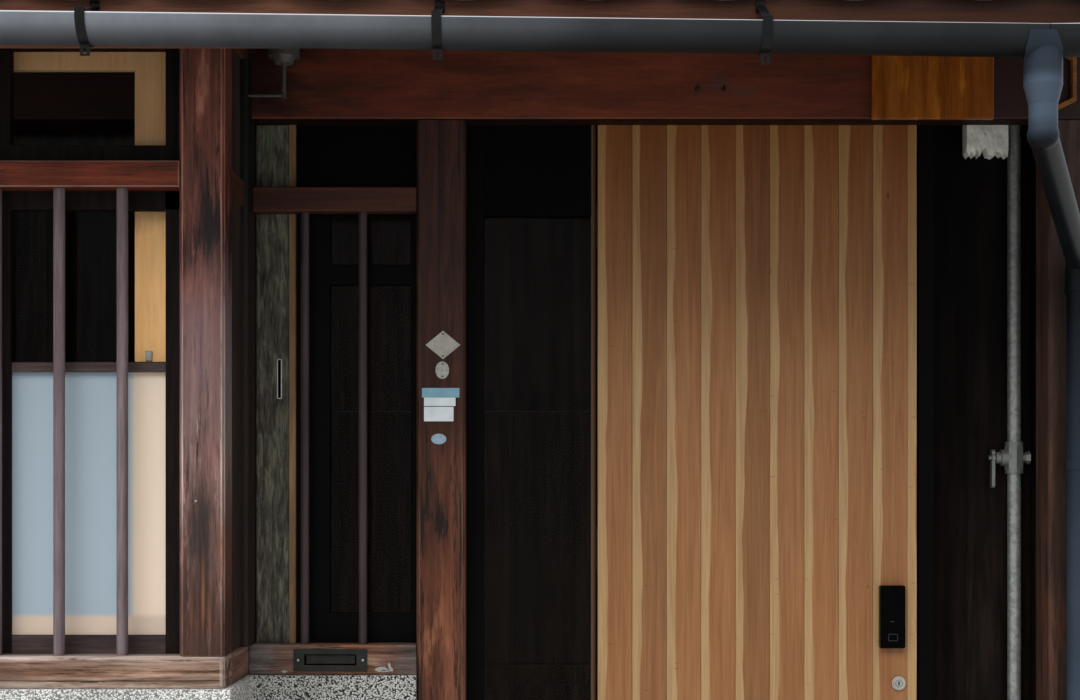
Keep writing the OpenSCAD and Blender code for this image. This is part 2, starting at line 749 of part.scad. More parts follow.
module party_walls() color("tan") placed() {
    z = [stone_h + ground_rail_h, beam_top - wall_d];
    for (x = [x_left, x_right - end_post_w])
        block([x + (end_post_w - party_t) / 2, x + (end_post_w + party_t) / 2], [wall_d, party_d - wall_d], z);
}

module party_wall_rails() color("brown") placed() {
    for (x = [x_left, x_right_post]) {
        block([x, x + end_post_w], [wall_d, party_d], [beam_top - wall_d, beam_top]);
        block([x + 7, x + end_post_w - 7], [wall_d, party_d - wall_d], [stone_h, stone_h + ground_rail_h]);
    }
}

// A boarded wall between the back posts, in line with them
module rear_wall() color("black") placed() {
    x = [x_left + end_post_w, x_right_post];
    y = [party_d - wall_d, party_d];
    mid = party_d - wall_d / 2;
    block(x, y, [stone_h, stone_h + ground_rail_h]);
    block(x, y, [beam_top - wall_d, beam_top]);
    block(x, [mid - boards_t / 2, mid + boards_t / 2], [stone_h + ground_rail_h - eps, beam_top - wall_d + eps]);
    for (share = [1 / 3, 2 / 3]) {
        z = stone_h + share * (beam_top - wall_d - stone_h) - ledger_h / 2;
        block(x, [mid - boards_t / 2 - ledger_t, mid - boards_t / 2 + eps], [z, z + ledger_h]);
    }
}

// The boards of the floor above, on joists that bear on the rear wall and hang at the main beam
module ceiling() color("saddlebrown") placed() {
    block([x_left, x_right], [wall_d, party_d], [beam_top, beam_top + ceiling_t]);
    span = x_right_post - x_left - end_post_w;
    for (i = [1 : joist_n]) {
        x = x_left + end_post_w + span * i / (joist_n + 1);
        block([x - joist_w / 2, x + joist_w / 2], [wall_d, party_d - wall_d], [beam_top - joist_h, beam_top + eps]);
    }
}

module fascia() color("brown") placed()
    block([x_left, x_right], [-fascia_out, -fascia_out + fascia_t], [fascia_top - fascia_h, fascia_top]);

// A slab that follows the roof: from out0 to out1 in front of the posts, t thick, up above the rafters' underside
module sloped(x, out0, out1, up, t) {
    translate([x[0], 0, 0]) rotate([90, 0, 90]) linear_extrude(x[1] - x[0])
        polygon([[-out0, rafter_under(out0) + up], [-out1, rafter_under(out1) + up],
            [-out1, rafter_under(out1) + up + t], [-out0, rafter_under(out0) + up + t]]);
}

module rafters() color("saddlebrown") placed() {
    pitch = (x_right - x_left - rafter) / (rafter_n - 1);
    for (i = [0 : rafter_n - 1]) {
        x = x_left + i * pitch;
        sloped([x, x + rafter], fascia_out - fascia_t, -wall_d, 0, rafter);
    }
}

// Boards that close the spaces between the rafters, on the beam
module eave_boards() color("saddlebrown") placed() {
    pitch = (x_right - x_left - rafter) / (rafter_n - 1);
    for (i = [0 : rafter_n - 2]) {
        x = x_left + i * pitch;
        sloped([x + rafter, x + pitch], -wall_d / 2, -wall_d / 2 - deck_t, 0, rafter);
    }
}

module roof_boards() color("saddlebrown") placed()
    sloped([x_left, x_right], fascia_out - fascia_t, -wall_d, rafter, deck_t);

module roof_tiles() color("slategray") placed() {
    run = (fascia_out + 30 + wall_d) / tile_n;
    up = rafter + deck_t;
    for (i = [0 : tile_n - 1]) {
        o = fascia_out + 30 - i * run;
        translate([x_left, 0, 0]) rotate([90, 0, 90]) linear_extrude(x_right - x_left)
            polygon([[-o, rafter_under(o) + up], [-o + run, rafter_under(o - run) + up],
                [-o + run, rafter_under(o - run) + up + tile_t / 2], [-o, rafter_under(o) + up + tile_t]]);
    }
}

// A bed of mortar and two flat tiles along the top of the roof
module roof_cap() color("slategray") placed() {
    run = (fascia_out + 30 + wall_d) / tile_n;
    up = rafter + deck_t + tile_t / 2;
    back = rafter_under(-wall_d) + up;
    front = back - (cap_w - 20) * roof_slope + tile_t / 2 * (cap_w - 20) / run;
    flat_z = back + cap_t;
    translate([x_left, 0, 0]) rotate([90, 0, 90]) linear_extrude(x_right - x_left)
        polygon([[wall_d - cap_w + 20, front], [wall_d, back], [wall_d, flat_z + 2 * cap_t],
            [wall_d - cap_w + 12, flat_z + 2 * cap_t - 8], [wall_d - cap_w + 12, flat_z + cap_t - 8],
            [wall_d - cap_w, flat_z + cap_t - 9], [wall_d - cap_w, flat_z - 9], [wall_d - cap_w + 20, flat_z - 8]]);
}

// The half-round section with its front bead
module gutter_section() {
    difference() {
        circle(r = gutter_r);
        circle(r = gutter_r - gutter_t);
        translate([-gutter_r * 2, 0]) square([gutter_r * 4, gutter_r * 2]);
    }
    translate([-gutter_r + bead_r, 0]) circle(r = bead_r);
}

module gutter() color("slategray") placed() {
    angle = atan(gutter_fall);
    for (run = [[x_left + 4, x_collector - 0.5], [x_right - 4, x_collector + 0.5]]) difference() {
        len = abs(run[1] - run[0]);
        s = run[1] > run[0] ? 1 : -1;
        translate([run[0], -gutter_out, rim_z(run[0])]) rotate([0, s * angle, 0]) {
            translate([s < 0 ? -len : 0, 0, 0]) rotate([90, 0, 90]) linear_extrude(len) gutter_section();
            translate([s < 0 ? -2 * gutter_t : gutter_t, 0, 0]) rotate([90, 0, 90]) linear_extrude(gutter_t)
                half_disc(gutter_r - gutter_t / 2);
        }
        translate([x_collector, -gutter_out, gutter_z - gutter_r - 9]) cylinder(d = outlet_d, h = 26);
    }
}

// The closed end of the gutter
module half_disc(r) {
    difference() {
        circle(r = r);
        translate([-2 * r, -1.6 * bead_r]) square([4 * r, 2 * r]);
    }
}

// Half a ring under the gutter, t thick outside radius r
module half_ring(r, t) {
    difference() {
        circle(r = r + t);
        circle(r = r);
        translate([-2 * r, 0]) square([4 * r, 2 * r]);
    }
}

module gutter_brackets() color("black") placed() {
    r = gutter_r + touch_gap + strap_w / 2 * gutter_fall;
    stem = r + strap_t + 22;
    for (x = concat([for (d = bracket_at) x_collector - d], [x_right - 120]))
        translate([x - strap_w / 2, -gutter_out, rim_z(x)]) difference() {
            rotate([90, 0, 90]) linear_extrude(strap_w) {
                half_ring(r, strap_t);
                translate([-r - strap_t, 0]) square([strap_t, 9]);
                translate([-r - strap_t, 9]) square([12, strap_t]);
                translate([r, 0]) square([strap_t, 16]);
                translate([r, 12]) square([gutter_out - fascia_out - r, strap_t]);
                translate([gutter_out - fascia_out - strap_t, -24]) square([strap_t, 40]);
                translate([-12, -stem]) square([strap_t, 24]);
            }
            block([strap_w / 2 - 3, strap_w / 2 + 3], [-14, -7], [-stem + 4, -stem + 16]);
        }
}

// A run of round pipe through points, with ball elbows that are wider than the pipe by swell
module pipe_run(points, d, swell) {
    for (i = [0 : len(points) - 2]) {
        a = points[i];
        v = points[i + 1] - a;
        translate(a) rotate([0, acos(v[2] / norm(v)), atan2(v[1], v[0])]) cylinder(d = d, h = norm(v));
    }
    for (i = [1 : len(points) - 2]) translate(points[i]) sphere(d = d + swell);
}

module downpipe() color("slategray") placed() {
    neck_z = gutter_z - gutter_r - collector_h + 10;
    route = [[x_collector, -gutter_out, neck_z], [x_collector, -gutter_out, neck_z - 62],
        [x_down, down_y, down_z], [x_down, down_y, down_end]];
    difference() {
        union() {
            pipe_run(route, down_d, 6);
            translate(route[0]) cylinder(d1 = down_d, d2 = collector_w, h = 40);
            translate(route[0] + [0, 0, 40]) cylinder(d = collector_w, h = gutter_z - neck_z - 40);
            translate([x_down, down_y, down_z - 75]) cylinder(d = down_d + 9, h = 60);
            for (z = [down_z / 4, down_z * 3 / 4]) {
                translate([x_down, down_y, z]) cylinder(d = down_d + 5, h = 25);
                block([x_down - 10, x_down + 10], [down_y, 0], [z, z + 25]);
            }
        }
        pipe_run([route[0] - [0, 0, 1], route[1], route[2], route[3] - [0, 0, 1]], down_d - 2 * pipe_wall, 2);
        translate(route[0] - [0, 0, 1]) cylinder(d = down_d - 2 * pipe_wall, h = collector_h);
        translate([x_collector - collector_w, -gutter_out, gutter_z]) rotate([0, 90, 0])
            cylinder(r = gutter_r + touch_gap + collector_w / 2 * gutter_fall, h = 2 * collector_w);
    }
}

foundation_stones();
threshold();
bay_base_front();
bay_base_sides();
middle_base();
bay_sill();
bay_side_sills();
middle_sill();
bay_posts();
middle_post();
party_posts();
main_beam();
bay_head_rail();
bay_side_rails();
bay_rail();
middle_rail();
window_bars();
bay_lower_sash();
bay_frosted_glass();
bay_upper_sash();
clear_glass();
bay_inner_frame();
bay_side_boards();
rough_panel();
trim_strip();
middle_window_frame();
transom_boards();
entrance_frame();
frame_hinge_leaves();
door_boards();
door_ledges();
door_hinge_leaves();
lock_unit();
lock_cylinder();
letter_frame();
letter_flap();
board_wall();
gas_pipe();
gas_cock();
gas_lever();
plaster_remnant();
varnished_board();
octagonal_frame();
porcelain_fitting();
party_walls();
party_wall_rails();
rear_wall();
ceiling();
fascia();
rafters();
eave_boards();
roof_boards();
roof_tiles();
roof_cap();
gutter();
gutter_brackets();
downpipe();
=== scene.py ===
import json
import math
import random
from functools import partial

import bmesh
import bpy
from mathutils import Matrix, Vector


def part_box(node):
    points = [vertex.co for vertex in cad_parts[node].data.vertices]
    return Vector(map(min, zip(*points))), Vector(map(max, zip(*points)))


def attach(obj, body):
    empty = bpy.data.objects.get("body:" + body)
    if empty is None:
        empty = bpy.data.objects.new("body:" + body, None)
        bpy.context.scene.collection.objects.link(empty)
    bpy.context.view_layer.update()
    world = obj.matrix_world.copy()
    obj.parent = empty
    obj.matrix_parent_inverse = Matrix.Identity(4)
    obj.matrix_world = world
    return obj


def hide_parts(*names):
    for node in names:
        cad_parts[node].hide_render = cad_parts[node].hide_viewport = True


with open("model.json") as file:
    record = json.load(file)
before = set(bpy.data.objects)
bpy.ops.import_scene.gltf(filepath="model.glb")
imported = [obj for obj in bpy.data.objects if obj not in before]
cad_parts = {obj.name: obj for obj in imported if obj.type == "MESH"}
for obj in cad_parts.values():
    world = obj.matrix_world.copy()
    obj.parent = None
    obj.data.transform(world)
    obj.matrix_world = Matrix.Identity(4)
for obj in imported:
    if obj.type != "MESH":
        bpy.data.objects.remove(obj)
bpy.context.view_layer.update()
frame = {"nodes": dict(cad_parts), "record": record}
nodes = frame["nodes"]
mm = 0.001
print("frame loaded:", len(nodes), "nodes")

# the photograph: a level camera before the posts and right of the middle post, its picture shifted up
view = {"right": 248 * mm, "before": 4300 * mm, "height": 1450 * mm, "focalPixels": 1720, "width": 1080,
        "middlePixel": 540, "horizonPixel": 505, "imageMiddle": 350}
postLow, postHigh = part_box("middle_post")
centreX, frontY = (postLow.x + postHigh.x) / 2, postLow.y
eye = Vector((centreX + view["right"], frontY - view["before"], view["height"]))


def pixelSize(planeY):
    return (planeY - eye.y) / view["focalPixels"]


def seenX(pixelX, planeY):
    return eye.x + (pixelX - view["middlePixel"]) * pixelSize(planeY)


def seenZ(pixelY, planeY):
    return eye.z - (pixelY - view["horizonPixel"]) * pixelSize(planeY)


def seenAt(pixelX, pixelY, planeY):
    # the place on an upright plane that shows at a pixel of the photograph
    return seenX(pixelX, planeY), seenZ(pixelY, planeY)


# colours and nodes
multiply = {"data_type": "RGBA", "blend_type": "MULTIPLY"}
cover = {"data_type": "RGBA"}


def linearColour(hexText, alpha=1.0):
    values = [int(hexText[i:i + 2], 16) / 255 for i in (1, 3, 5)]
    linear = [v / 12.92 if v <= 0.04045 else ((v + 0.055) / 1.055) ** 2.4 for v in values]
    return (*linear, alpha)


def feed(node, inputs):
    # sets values and hex colours, and links a socket or another node's first working output
    for name, value in inputs.items():
        if isinstance(value, bpy.types.Node):
            value = next(output for output in value.outputs if output.enabled)
        if isinstance(value, bpy.types.NodeSocket):
            node.id_data.links.new(value, node.inputs[name])
        else:
            node.inputs[name].default_value = linearColour(value) if isinstance(value, str) else value


def addNode(tree, kind, inputs=None, stops=None, **settings):
    node = tree.nodes.new("ShaderNode" + kind)
    for name, value in settings.items():
        setattr(node, name, value)
    feed(node, inputs or {})
    if stops:
        ramp = node.color_ramp
        while len(ramp.elements) < len(stops):
            ramp.elements.new(1.0)
        for element, (place, colour) in zip(ramp.elements, stops):
            element.position = place
            element.color = linearColour(colour) if isinstance(colour, str) else (colour,) * 3 + (1.0,)
    return node


def startMaterial(name, roughness=0.6, metallic=0.0, specular=0.3):
    # a new material, its shader and the function that adds nodes to it
    material = bpy.data.materials.new(name)
    material.use_nodes = True
    shader = material.node_tree.nodes["Principled BSDF"]
    feed(shader, {"Roughness": roughness, "Metallic": metallic, "Specular IOR Level": specular})
    return material, shader, partial(addNode, material.node_tree)


# timber
grainLook = {"rings": 27 * mm, "pores": 3.9 * mm, "blotch": 60 * mm, "crack": 14 * mm, "soot": 17 * mm,
             "joint": 3 * mm, "splitWander": 5 * mm, "splitFade": 120 * mm, "crackColour": "#120A07",
             "sootColour": "#0C0706", "splitColour": "#080504", "zoneBlur": 0.24, "sootLift": 0.135,
             "stainRagged": 2.4, "stainInside": 3.2, "stainOutside": 4.8, "crackStretch": 0.06,
             "sootStretch": 0.09, "blotchStretch": 0.22}


def pattern(add, kind, place, stretch, size, offset=(0, 0, 0), **inputs):
    # a noise or cell pattern of a real size, drawn out along the grain
    mapped = add("Mapping", {"Vector": place, "Scale": stretch, "Location": offset})
    return add(kind, {"Vector": mapped, "Scale": 1 / size, **inputs})


def agedTimber(name, dark, mid, light, along="Z", wear=None, wearAmount=0.0, roughness=0.62, specular=0.3,
               boardWidth=None, boardAxis="X", relief=0.5 * mm, shift=0.0, contrast=1.0, cracks=0.0,
               zones=None, split=None, soot=None, patchy=(0.82, 1.12), stretch=22, fine=1.0, pore=0.72,
               stains=()):
    # sawn and weathered wood: long grain, fine pores, rubbed patches, black checks, tones along an axis
    material, shader, add = startMaterial(name, roughness, specular=specular)
    place = real = add("TexCoord").outputs["Object"]
    axes = add("SeparateXYZ", {0: real}).outputs

    def drawn(share):
        return [share if axis == along else 1 for axis in "XYZ"]

    if boardWidth:
        share = add("Math", {0: axes[boardAxis], 1: boardWidth}, operation="DIVIDE")
        board = add("Math", {0: share}, operation="FLOOR")
        tone = add("TexWhiteNoise", {"W": board}, noise_dimensions="1D")
        away = add("VectorMath", {0: tone.outputs["Color"], 1: (3, 3, 3)}, operation="MULTIPLY")
        place = add("VectorMath", {0: place, 1: away}, operation="ADD")
    offset = (shift, shift * 0.7, shift * 1.3)
    long, sizes = drawn(1 / stretch), grainLook
    rings = pattern(add, "TexNoise", place, long, sizes["rings"] / fine, offset, Detail=5, Roughness=0.62,
                    Distortion=0.6)
    pores = pattern(add, "TexNoise", place, long, sizes["pores"], offset, Detail=3, Roughness=0.7)
    blotch = pattern(add, "TexNoise", place, drawn(sizes["blotchStretch"]), sizes["blotch"], Detail=6,
                     Roughness=0.68)
    low, high = 0.5 - 0.2 / contrast, 0.5 + 0.2 / contrast
    colour = add("ValToRGB", {0: rings}, stops=[(low, dark), (0.5, mid), (high, light)])
    streak = add("MapRange", {0: pores, 1: 0.3, 2: 0.62, 3: pore, 4: 1.06})
    clouds = add("MapRange", {0: blotch, 1: 0.36, 2: 0.62, 3: patchy[0], 4: patchy[1]})
    layers = [(1.0, streak, multiply), (1.0, clouds, multiply)]
    if boardWidth:
        inside = add("Math", {0: share}, operation="FRACT")
        joint = add("MapRange", {0: inside, 1: 0.0, 2: sizes["joint"] / boardWidth, 3: 0.25, 4: 1.0})
        layers += [(1.0, add("MapRange", {0: tone, 3: 0.7, 4: 1.2}), multiply), (1.0, joint, multiply)]
    if wear:
        rubbed = 0.2 * wearAmount
        mask = add("MapRange", {0: blotch, 1: 0.62 - rubbed, 2: 0.72 - rubbed, 3: 0, 4: 0.85})
        mask = add("Math", {0: mask, 1: streak}, operation="MULTIPLY")
        layers.append((mask, wear, cover))
    if zones:
        share = axes[zones.get("axis", "Z")]
        blur = sizes["zoneBlur"]
        share = add("MapRange", {0: share, 1: zones["from"], 2: zones["to"], 3: -blur / 2, 4: 1 - blur / 2})
        share = add("Math", {0: blotch, 1: blur, 2: share}, operation="MULTIPLY_ADD")
        tint = add("ValToRGB", {0: share}, stops=zones["tints"])
        tint = add("VectorMath", {0: tint, 1: (2, 2, 2)}, operation="MULTIPLY")
        layers.append((1.0, tint, multiply))
    if cracks:
        lines = pattern(add, "TexNoise", place, drawn(sizes["crackStretch"]), sizes["crack"], (9, 4, 2),
                        Detail=5, Roughness=0.8)
        mask = add("MapRange", {0: lines, 1: 0.53, 2: 0.64, 3: 0.0, 4: cracks})
        layers.append((mask, sizes["crackColour"], cover))
    if soot:
        away = add("Math", {0: axes["Z"], 1: soot["z"]}, operation="SUBTRACT")
        away = add("Math", {0: away}, operation="ABSOLUTE")
        near = add("MapRange", {0: away, 1: soot["half"], 2: 0.0, 3: 0.0, 4: sizes["sootLift"]})
        lines = pattern(add, "TexNoise", place, drawn(sizes["sootStretch"]), sizes["soot"], (5, 1, 7),
                        Detail=5, Roughness=0.75)
        lines = add("Math", {0: lines, 1: near}, operation="ADD")
        mask = add("MapRange", {0: lines, 1: 0.58, 2: 0.66, 3: 0.0, 4: 0.9})
        layers.append((mask, sizes["sootColour"], cover))
    if split:
        off = add("Math", {0: axes[split["across"]], 1: split["at"]}, operation="SUBTRACT")
        off = add("Math", {0: blotch, 1: sizes["splitWander"], 2: off}, operation="MULTIPLY_ADD")
        off = add("Math", {0: off}, operation="ABSOLUTE")
        gap = add("MapRange", {0: off, 1: split["half"] * 0.4, 2: split["half"], 3: 0.85, 4: 0.0})
        above = add("MapRange", {0: axes["Z"], 1: split["above"], 2: split["above"] + sizes["splitFade"]})
        mask = add("Math", {0: gap, 1: above}, operation="MULTIPLY")
        layers.append((mask, sizes["splitColour"], cover))
    for stain in stains:
        off = add("VectorMath", {0: real, 1: stain["centre"]}, operation="SUBTRACT")
        off = add("VectorMath", {0: off, 1: stain["squeeze"]}, operation="MULTIPLY")
        off = add("VectorMath", {0: off}, operation="LENGTH")
        ragged = add("Math", {0: rings, 1: blotch}, operation="ADD")
        ragged = add("Math", {0: pores, 1: 0.8, 2: ragged}, operation="MULTIPLY_ADD")
        off = add("Math", {0: ragged, 1: sizes["stainRagged"], 2: off}, operation="MULTIPLY_ADD")
        inside, outside = sizes["stainInside"], sizes["stainOutside"]
        mask = add("MapRange", {0: off, 1: inside, 2: outside, 3: stain["amount"], 4: 0.0})
        layers.append((mask, stain["colour"], cover))
    for amount, tone, how in layers:
        colour = add("Mix", {0: amount, 6: colour, 7: tone}, **how)
    height = add("Math", {0: rings, 1: pores}, operation="ADD")
    feed(shader, {"Base Color": colour, "Normal": add("Bump", {"Height": height, "Distance": relief})})
    return material


def stainAt(pixelX, pixelY, halfX, halfY, colour, amount, planeY):
    # a soft stain on a front face, placed and sized in pixels of the photograph
    size = pixelSize(planeY)
    return {"centre": (seenX(pixelX, planeY), 0, seenZ(pixelY, planeY)), "colour": colour, "amount": amount,
            "squeeze": (1 / (halfX * size), 0, 1 / (halfY * size))}


bayFront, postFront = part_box("bay_sill")[0].y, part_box("bay_posts")[0].y
acrossFront = {"axis": "X", "from": seenX(0, frontY), "to": seenX(view["width"], frontY)}
# pixel rows and columns of edges in the photograph
edges = {"sillFoot": 685, "sillHead": 653, "sillSplit": 679, "middleSillLeft": 245, "middleSillRight": 416,
         "endPostLeft": 1027, "endPostRight": 1067, "jambLeft": 590.8, "jambRight": 597.6}
# each stain: centre x and y, half width, half height, colour, strength
postStains = [stainAt(*one, postFront) for one in (
    (200, 345, 30, 90, "#80646A", 0.55), (209, 228, 20, 36, "#0E0807", 0.88),
    (186, 250, 12, 20, "#150C0A", 0.8), (190, 286, 20, 14, "#8A4A42", 0.4),
    (214, 458, 10, 24, "#8E5A54", 0.45), (181, 492, 6, 26, "#74342A", 0.6),
    (200, 545, 17, 48, "#2C2624", 0.8), (180, 552, 5, 30, "#743428", 0.6),
    (221, 560, 4, 40, "#8E5230", 0.6), (203, 596, 1.4, 30, "#9A6238", 0.5),
    (191, 612, 1.6, 24, "#7E4E34", 0.45), (209, 616, 1.4, 22, "#80502F", 0.45),
    (200, 648, 26, 14, "#46312A", 0.6), (225, 385, 3.5, 100, "#8A8C92", 0.6))]
beamStains = [stainAt(*one, frontY) for one in (
    (745, 91, 16, 9, "#4A3630", 0.55), (720, 84, 12, 6, "#4A3A36", 0.5))]
# tints along an axis, doubled when they are laid on, so that #BCBCBC leaves the wood as it is
bayPostZones = {"from": 1.10, "to": 2.50, "tints": [
    (0.0, "#786056"), (0.1, "#84706A"), (0.2, "#AC9C98"), (0.34, "#D8D0D0"), (0.56, "#C4B0AC"),
    (0.66, "#A07870"), (0.8, "#B07E70"), (0.92, "#C48C7C"), (1.0, "#B88474")]}
# painted shade: the middle post and its rubbed edges darken towards the top, under the eave
middlePostShadeZones = {"from": 0.9, "to": 2.35, "tints": [
    (0.0, "#A08880"), (0.25, "#A88C7C"), (0.44, "#90786C"), (0.54, "#604A42"), (0.7, "#5A443C"),
    (1.0, "#644C42")]}
beamZones = {**acrossFront, "tints": [
    (0.22, "#544440"), (0.25, "#6C625E"), (0.29, "#A6A09C"), (0.34, "#B4A29C"), (0.48, "#CACACA"),
    (0.64, "#C8C4C0"), (0.76, "#B0A49C"), (0.9, "#8E807A"), (0.93, "#504A48"), (1.0, "#443E3C")]}
# painted light and shade: the fascia is brightened towards the left and darkened towards the right
fasciaLightAndShade = {**acrossFront, "tints": [
    (0.0, "#FFEADC"), (0.35, "#FFF2E6"), (0.5, "#D8C4B8"), (0.68, "#B09E90"), (0.8, "#94806E"),
    (1.0, "#785E4E")]}
sillZones = {"from": seenZ(edges["sillFoot"], bayFront), "to": seenZ(edges["sillHead"], bayFront), "tints": [
    (0.0, "#BFC7CA"), (0.15, "#B4B6B4"), (0.35, "#AEA49C"), (0.5, "#B2ACA4"), (0.64, "#BABCBC"),
    (0.8, "#D4E2F0"), (0.92, "#D6EAFA")]}
middleSillZones = {"axis": "X", "from": seenX(edges["middleSillLeft"], frontY),
                   "to": seenX(edges["middleSillRight"], frontY), "tints": [
    (0.0, "#B0D0E0"), (0.14, "#D4E4F0"), (0.18, "#CCC4C4"), (0.3, "#C8B8B0"), (0.68, "#BC9878"),
    (0.8, "#BEA694"), (0.88, "#A89490"), (0.91, "#A6A8AE"), (1.0, "#A2ACB5")]}
# painted shade: the light hinoki frame darkens in its upper part, under the eave
pineShadeZones = {"from": 1.9, "to": 2.4, "tints": [
    (0.0, "#C8BABA"), (0.4, "#C8BABA"), (0.5, "#9D929C"), (1.0, "#9D929C")]}
# painted light and shade: the black boards are lighter at their foot and darker upwards, under the eave
boardShadeZones = {"from": 0.9, "to": 2.4, "tints": [
    (0.0, "#FFFFFF"), (0.3, "#EEE4DE"), (0.6, "#BCBCBC"), (1.0, "#A6A6A6")]}
endPostZones = {"axis": "X", "from": seenX(edges["endPostLeft"], frontY),
                "to": seenX(edges["endPostRight"], frontY), "tints": [
    (0.0, "#BCC8D0"), (0.4, "#BCC8D0"), (0.52, "#CCC0BA"), (0.68, "#B4A49C"), (0.82, "#8A8078"),
    (1.0, "#8C8680")]}
shadeZones = {"from": 1.9, "to": 2.4, "tints": [
    (0.0, "#80706C"), (0.5, "#665550"), (0.62, "#1C1412"), (1.0, "#140E0C")]}
middlePostSplit = {"across": "X", "at": centreX - 1.5 * mm, "half": 2.2 * mm, "above": 1.86}
sillSplit = {"across": "Z", "at": seenZ(edges["sillSplit"], bayFront) - 2 * mm, "half": 1.8 * mm, "above": 0}
beamWood = agedTimber("benigara stained pine beam", "#421B0D", "#5B2916", "#6E3620", "X", relief=0.35 * mm,
                      contrast=0.5, cracks=0.25, patchy=(0.7, 1.28), stretch=9, pore=0.88, zones=beamZones,
                      stains=beamStains)
# painted shade: the beam's downward faces get a near-black copy of the beam wood
shadedBeamUnderside = agedTimber("shaded beam underside", "#140805", "#1E0D08", "#2C140D", "X", specular=0.1)
fasciaWood = agedTimber("stained cedar fascia", "#3E271C", "#503529", "#644638", "X", contrast=0.6,
                        cracks=0.25, zones=fasciaLightAndShade)
sashWood = agedTimber("worn black sash", "#110D0C", "#1A1413", "#261E1C", specular=0.06, contrast=0.7)
sashRailWood = agedTimber("rubbed sash rail", "#302829", "#463B3A", "#5E524F", "X", specular=0.06,
                          contrast=0.9)
sideWood = agedTimber("stained side timber", "#2C150E", "#432318", "#57342A", "Y")
postWood = agedTimber("worn red post", "#4C3B36", "#6C5852", "#8A7872", wear="#A89C98", wearAmount=0.2,
                      relief=0.8 * mm, cracks=0.8, zones=bayPostZones, soot={"z": 2.08, "half": 0.2},
                      patchy=(0.7, 1.2), stains=postStains)
postEdgeWood = agedTimber("rubbed and highlighted post edge", "#7A6860", "#A89890", "#C8BCB4", cracks=0.7, zones=bayPostZones)
endPostWood = agedTimber("dark red end post", "#2A1C17", "#42322B", "#5C463E", wear="#5E3626", wearAmount=0.3,
                         zones=endPostZones, cracks=0.75, shift=2.0, patchy=(0.6, 1.3))
shadedPostWood = agedTimber("shaded back post", "#241915", "#382822", "#4A3832", cracks=0.5, zones=shadeZones)
middlePostWood = agedTimber("worn pine post", "#432B21", "#6C4B3B", "#8C6854", wear="#9E7862",
                            wearAmount=0.15, relief=0.7 * mm, cracks=0.85, zones=middlePostShadeZones,
                            patchy=(0.7, 1.2), soot={"z": 1.42, "half": 0.14}, split=middlePostSplit)
pineEdgeWood = agedTimber("rubbed and highlighted pine edge", "#4A3A32", "#78645A", "#9C8A80", cracks=0.6,
                          zones=middlePostShadeZones)
sillWood = agedTimber("weathered sill", "#4E362B", "#927463", "#C2AA9A", "X", "#C2B2A4", 0.15, contrast=1.25,
                      relief=1.3 * mm, cracks=1.0, patchy=(0.66, 1.25), zones=sillZones, split=sillSplit)
sillEdgeWood = agedTimber("rubbed and highlighted sill edge", "#8A7468", "#A89488", "#C4B4AA", "X", cracks=0.5)
middleSillWood = agedTimber("worn brown sill", "#40322C", "#69554B", "#887468", "X", "#98908A", 0.1,
                            relief=0.7 * mm, cracks=0.85, shift=1.0, patchy=(0.65, 1.25),
                            zones=middleSillZones)
sideSillWood = agedTimber("weathered side sill", "#503429", "#7B5A4B", "#9A8073", "Y", "#A79C94", 0.35)
railWood = agedTimber("red rail", "#421809", "#682A16", "#864022", "X", cracks=0.85, patchy=(0.6, 1.25))
railEdgeWood = agedTimber("rubbed and highlighted rail edge", "#6A483E", "#906C60", "#B09286", "X", cracks=0.6)
middleRailWood = agedTimber("dark red rail", "#2C140B", "#421F13", "#58301F", "X", relief=0.4 * mm,
                            cracks=0.5)
barWood = agedTimber("mauve painted bar", "#4E4042", "#6E5F62", "#8C7E82", relief=0.3 * mm, contrast=0.6)
# painted shade: a darker copy of the bar wood for the bars in the middle post's shade
shadedBarWood = agedTimber("shaded mauve bar", "#2A2122", "#3E3132", "#504244", relief=0.3 * mm, contrast=0.6)
darkBoardWood = agedTimber("soot black boards", "#060403", "#0B0807", "#140E0B", roughness=0.6, specular=0.05,
                           boardWidth=105 * mm, patchy=(0.6, 1.6), zones=boardShadeZones)
rearBoardWood = agedTimber("brown lining boards", "#20150E", "#2E2017", "#3E2C20", specular=0.15,
                           boardWidth=180 * mm)
sideBoardWood = agedTimber("dark mauve boards", "#2A201D", "#3C2F2B", "#4E3F3A", boardWidth=200 * mm,
                           boardAxis="Y")
rafterWood = agedTimber("roof timber", "#3C2A20", "#513A2C", "#6B5040", "Y")
roofBoardWood = agedTimber("roof boards", "#43301F", "#5B432E", "#745A42", "X", boardWidth=150 * mm,
                           boardAxis="Y")
eaveBoardWood = agedTimber("eave boards", "#3A281B", "#4E3828", "#65503C", "X")
ledgeWood = agedTimber("cedar ledges", "#5F3F26", "#7A5536", "#926B48", "X")
pineWood = agedTimber("pale hinoki", "#FFC67E", "#FFD68E", "#FFE0A2", relief=0.15 * mm, contrast=0.4,
                      roughness=0.5, pore=0.92, patchy=(0.94, 1.1), zones=pineShadeZones)
octagonWood = agedTimber("orange stained pine", "#54300F", "#7A4A1C", "#946030", "X", relief=0.15 * mm)
trimWood = agedTimber("brown trim", "#68493A", "#88684C", "#A07E5E", relief=0.2 * mm)
varnishedWood = agedTimber("varnished board", "#6E360D", "#804515", "#94571F", "Z", "#A8681E", 0.3,
                           roughness=0.3, specular=0.2, relief=0.1 * mm, contrast=0.8)
mossyWood = agedTimber("mossy rough bark panel", "#3E3C32", "#5C5A50", "#7E7A68", "Z", "#626C52", 0.35,
                       roughness=0.85, relief=2.2 * mm, contrast=1.5, cracks=0.7, stretch=6, fine=2.6)
print("timber ready")


# stone, plaster, metal, glass and tile
pebbleLook = {"size": 4.4 * mm, "rise": 3 * mm, "clouds": 9}
graniteLook = {"grain": 4 * mm, "chisel": 60, "rise": 4 * mm}
zincLook = {"crystal": 9 * mm, "from": 1.5, "to": 2.1}


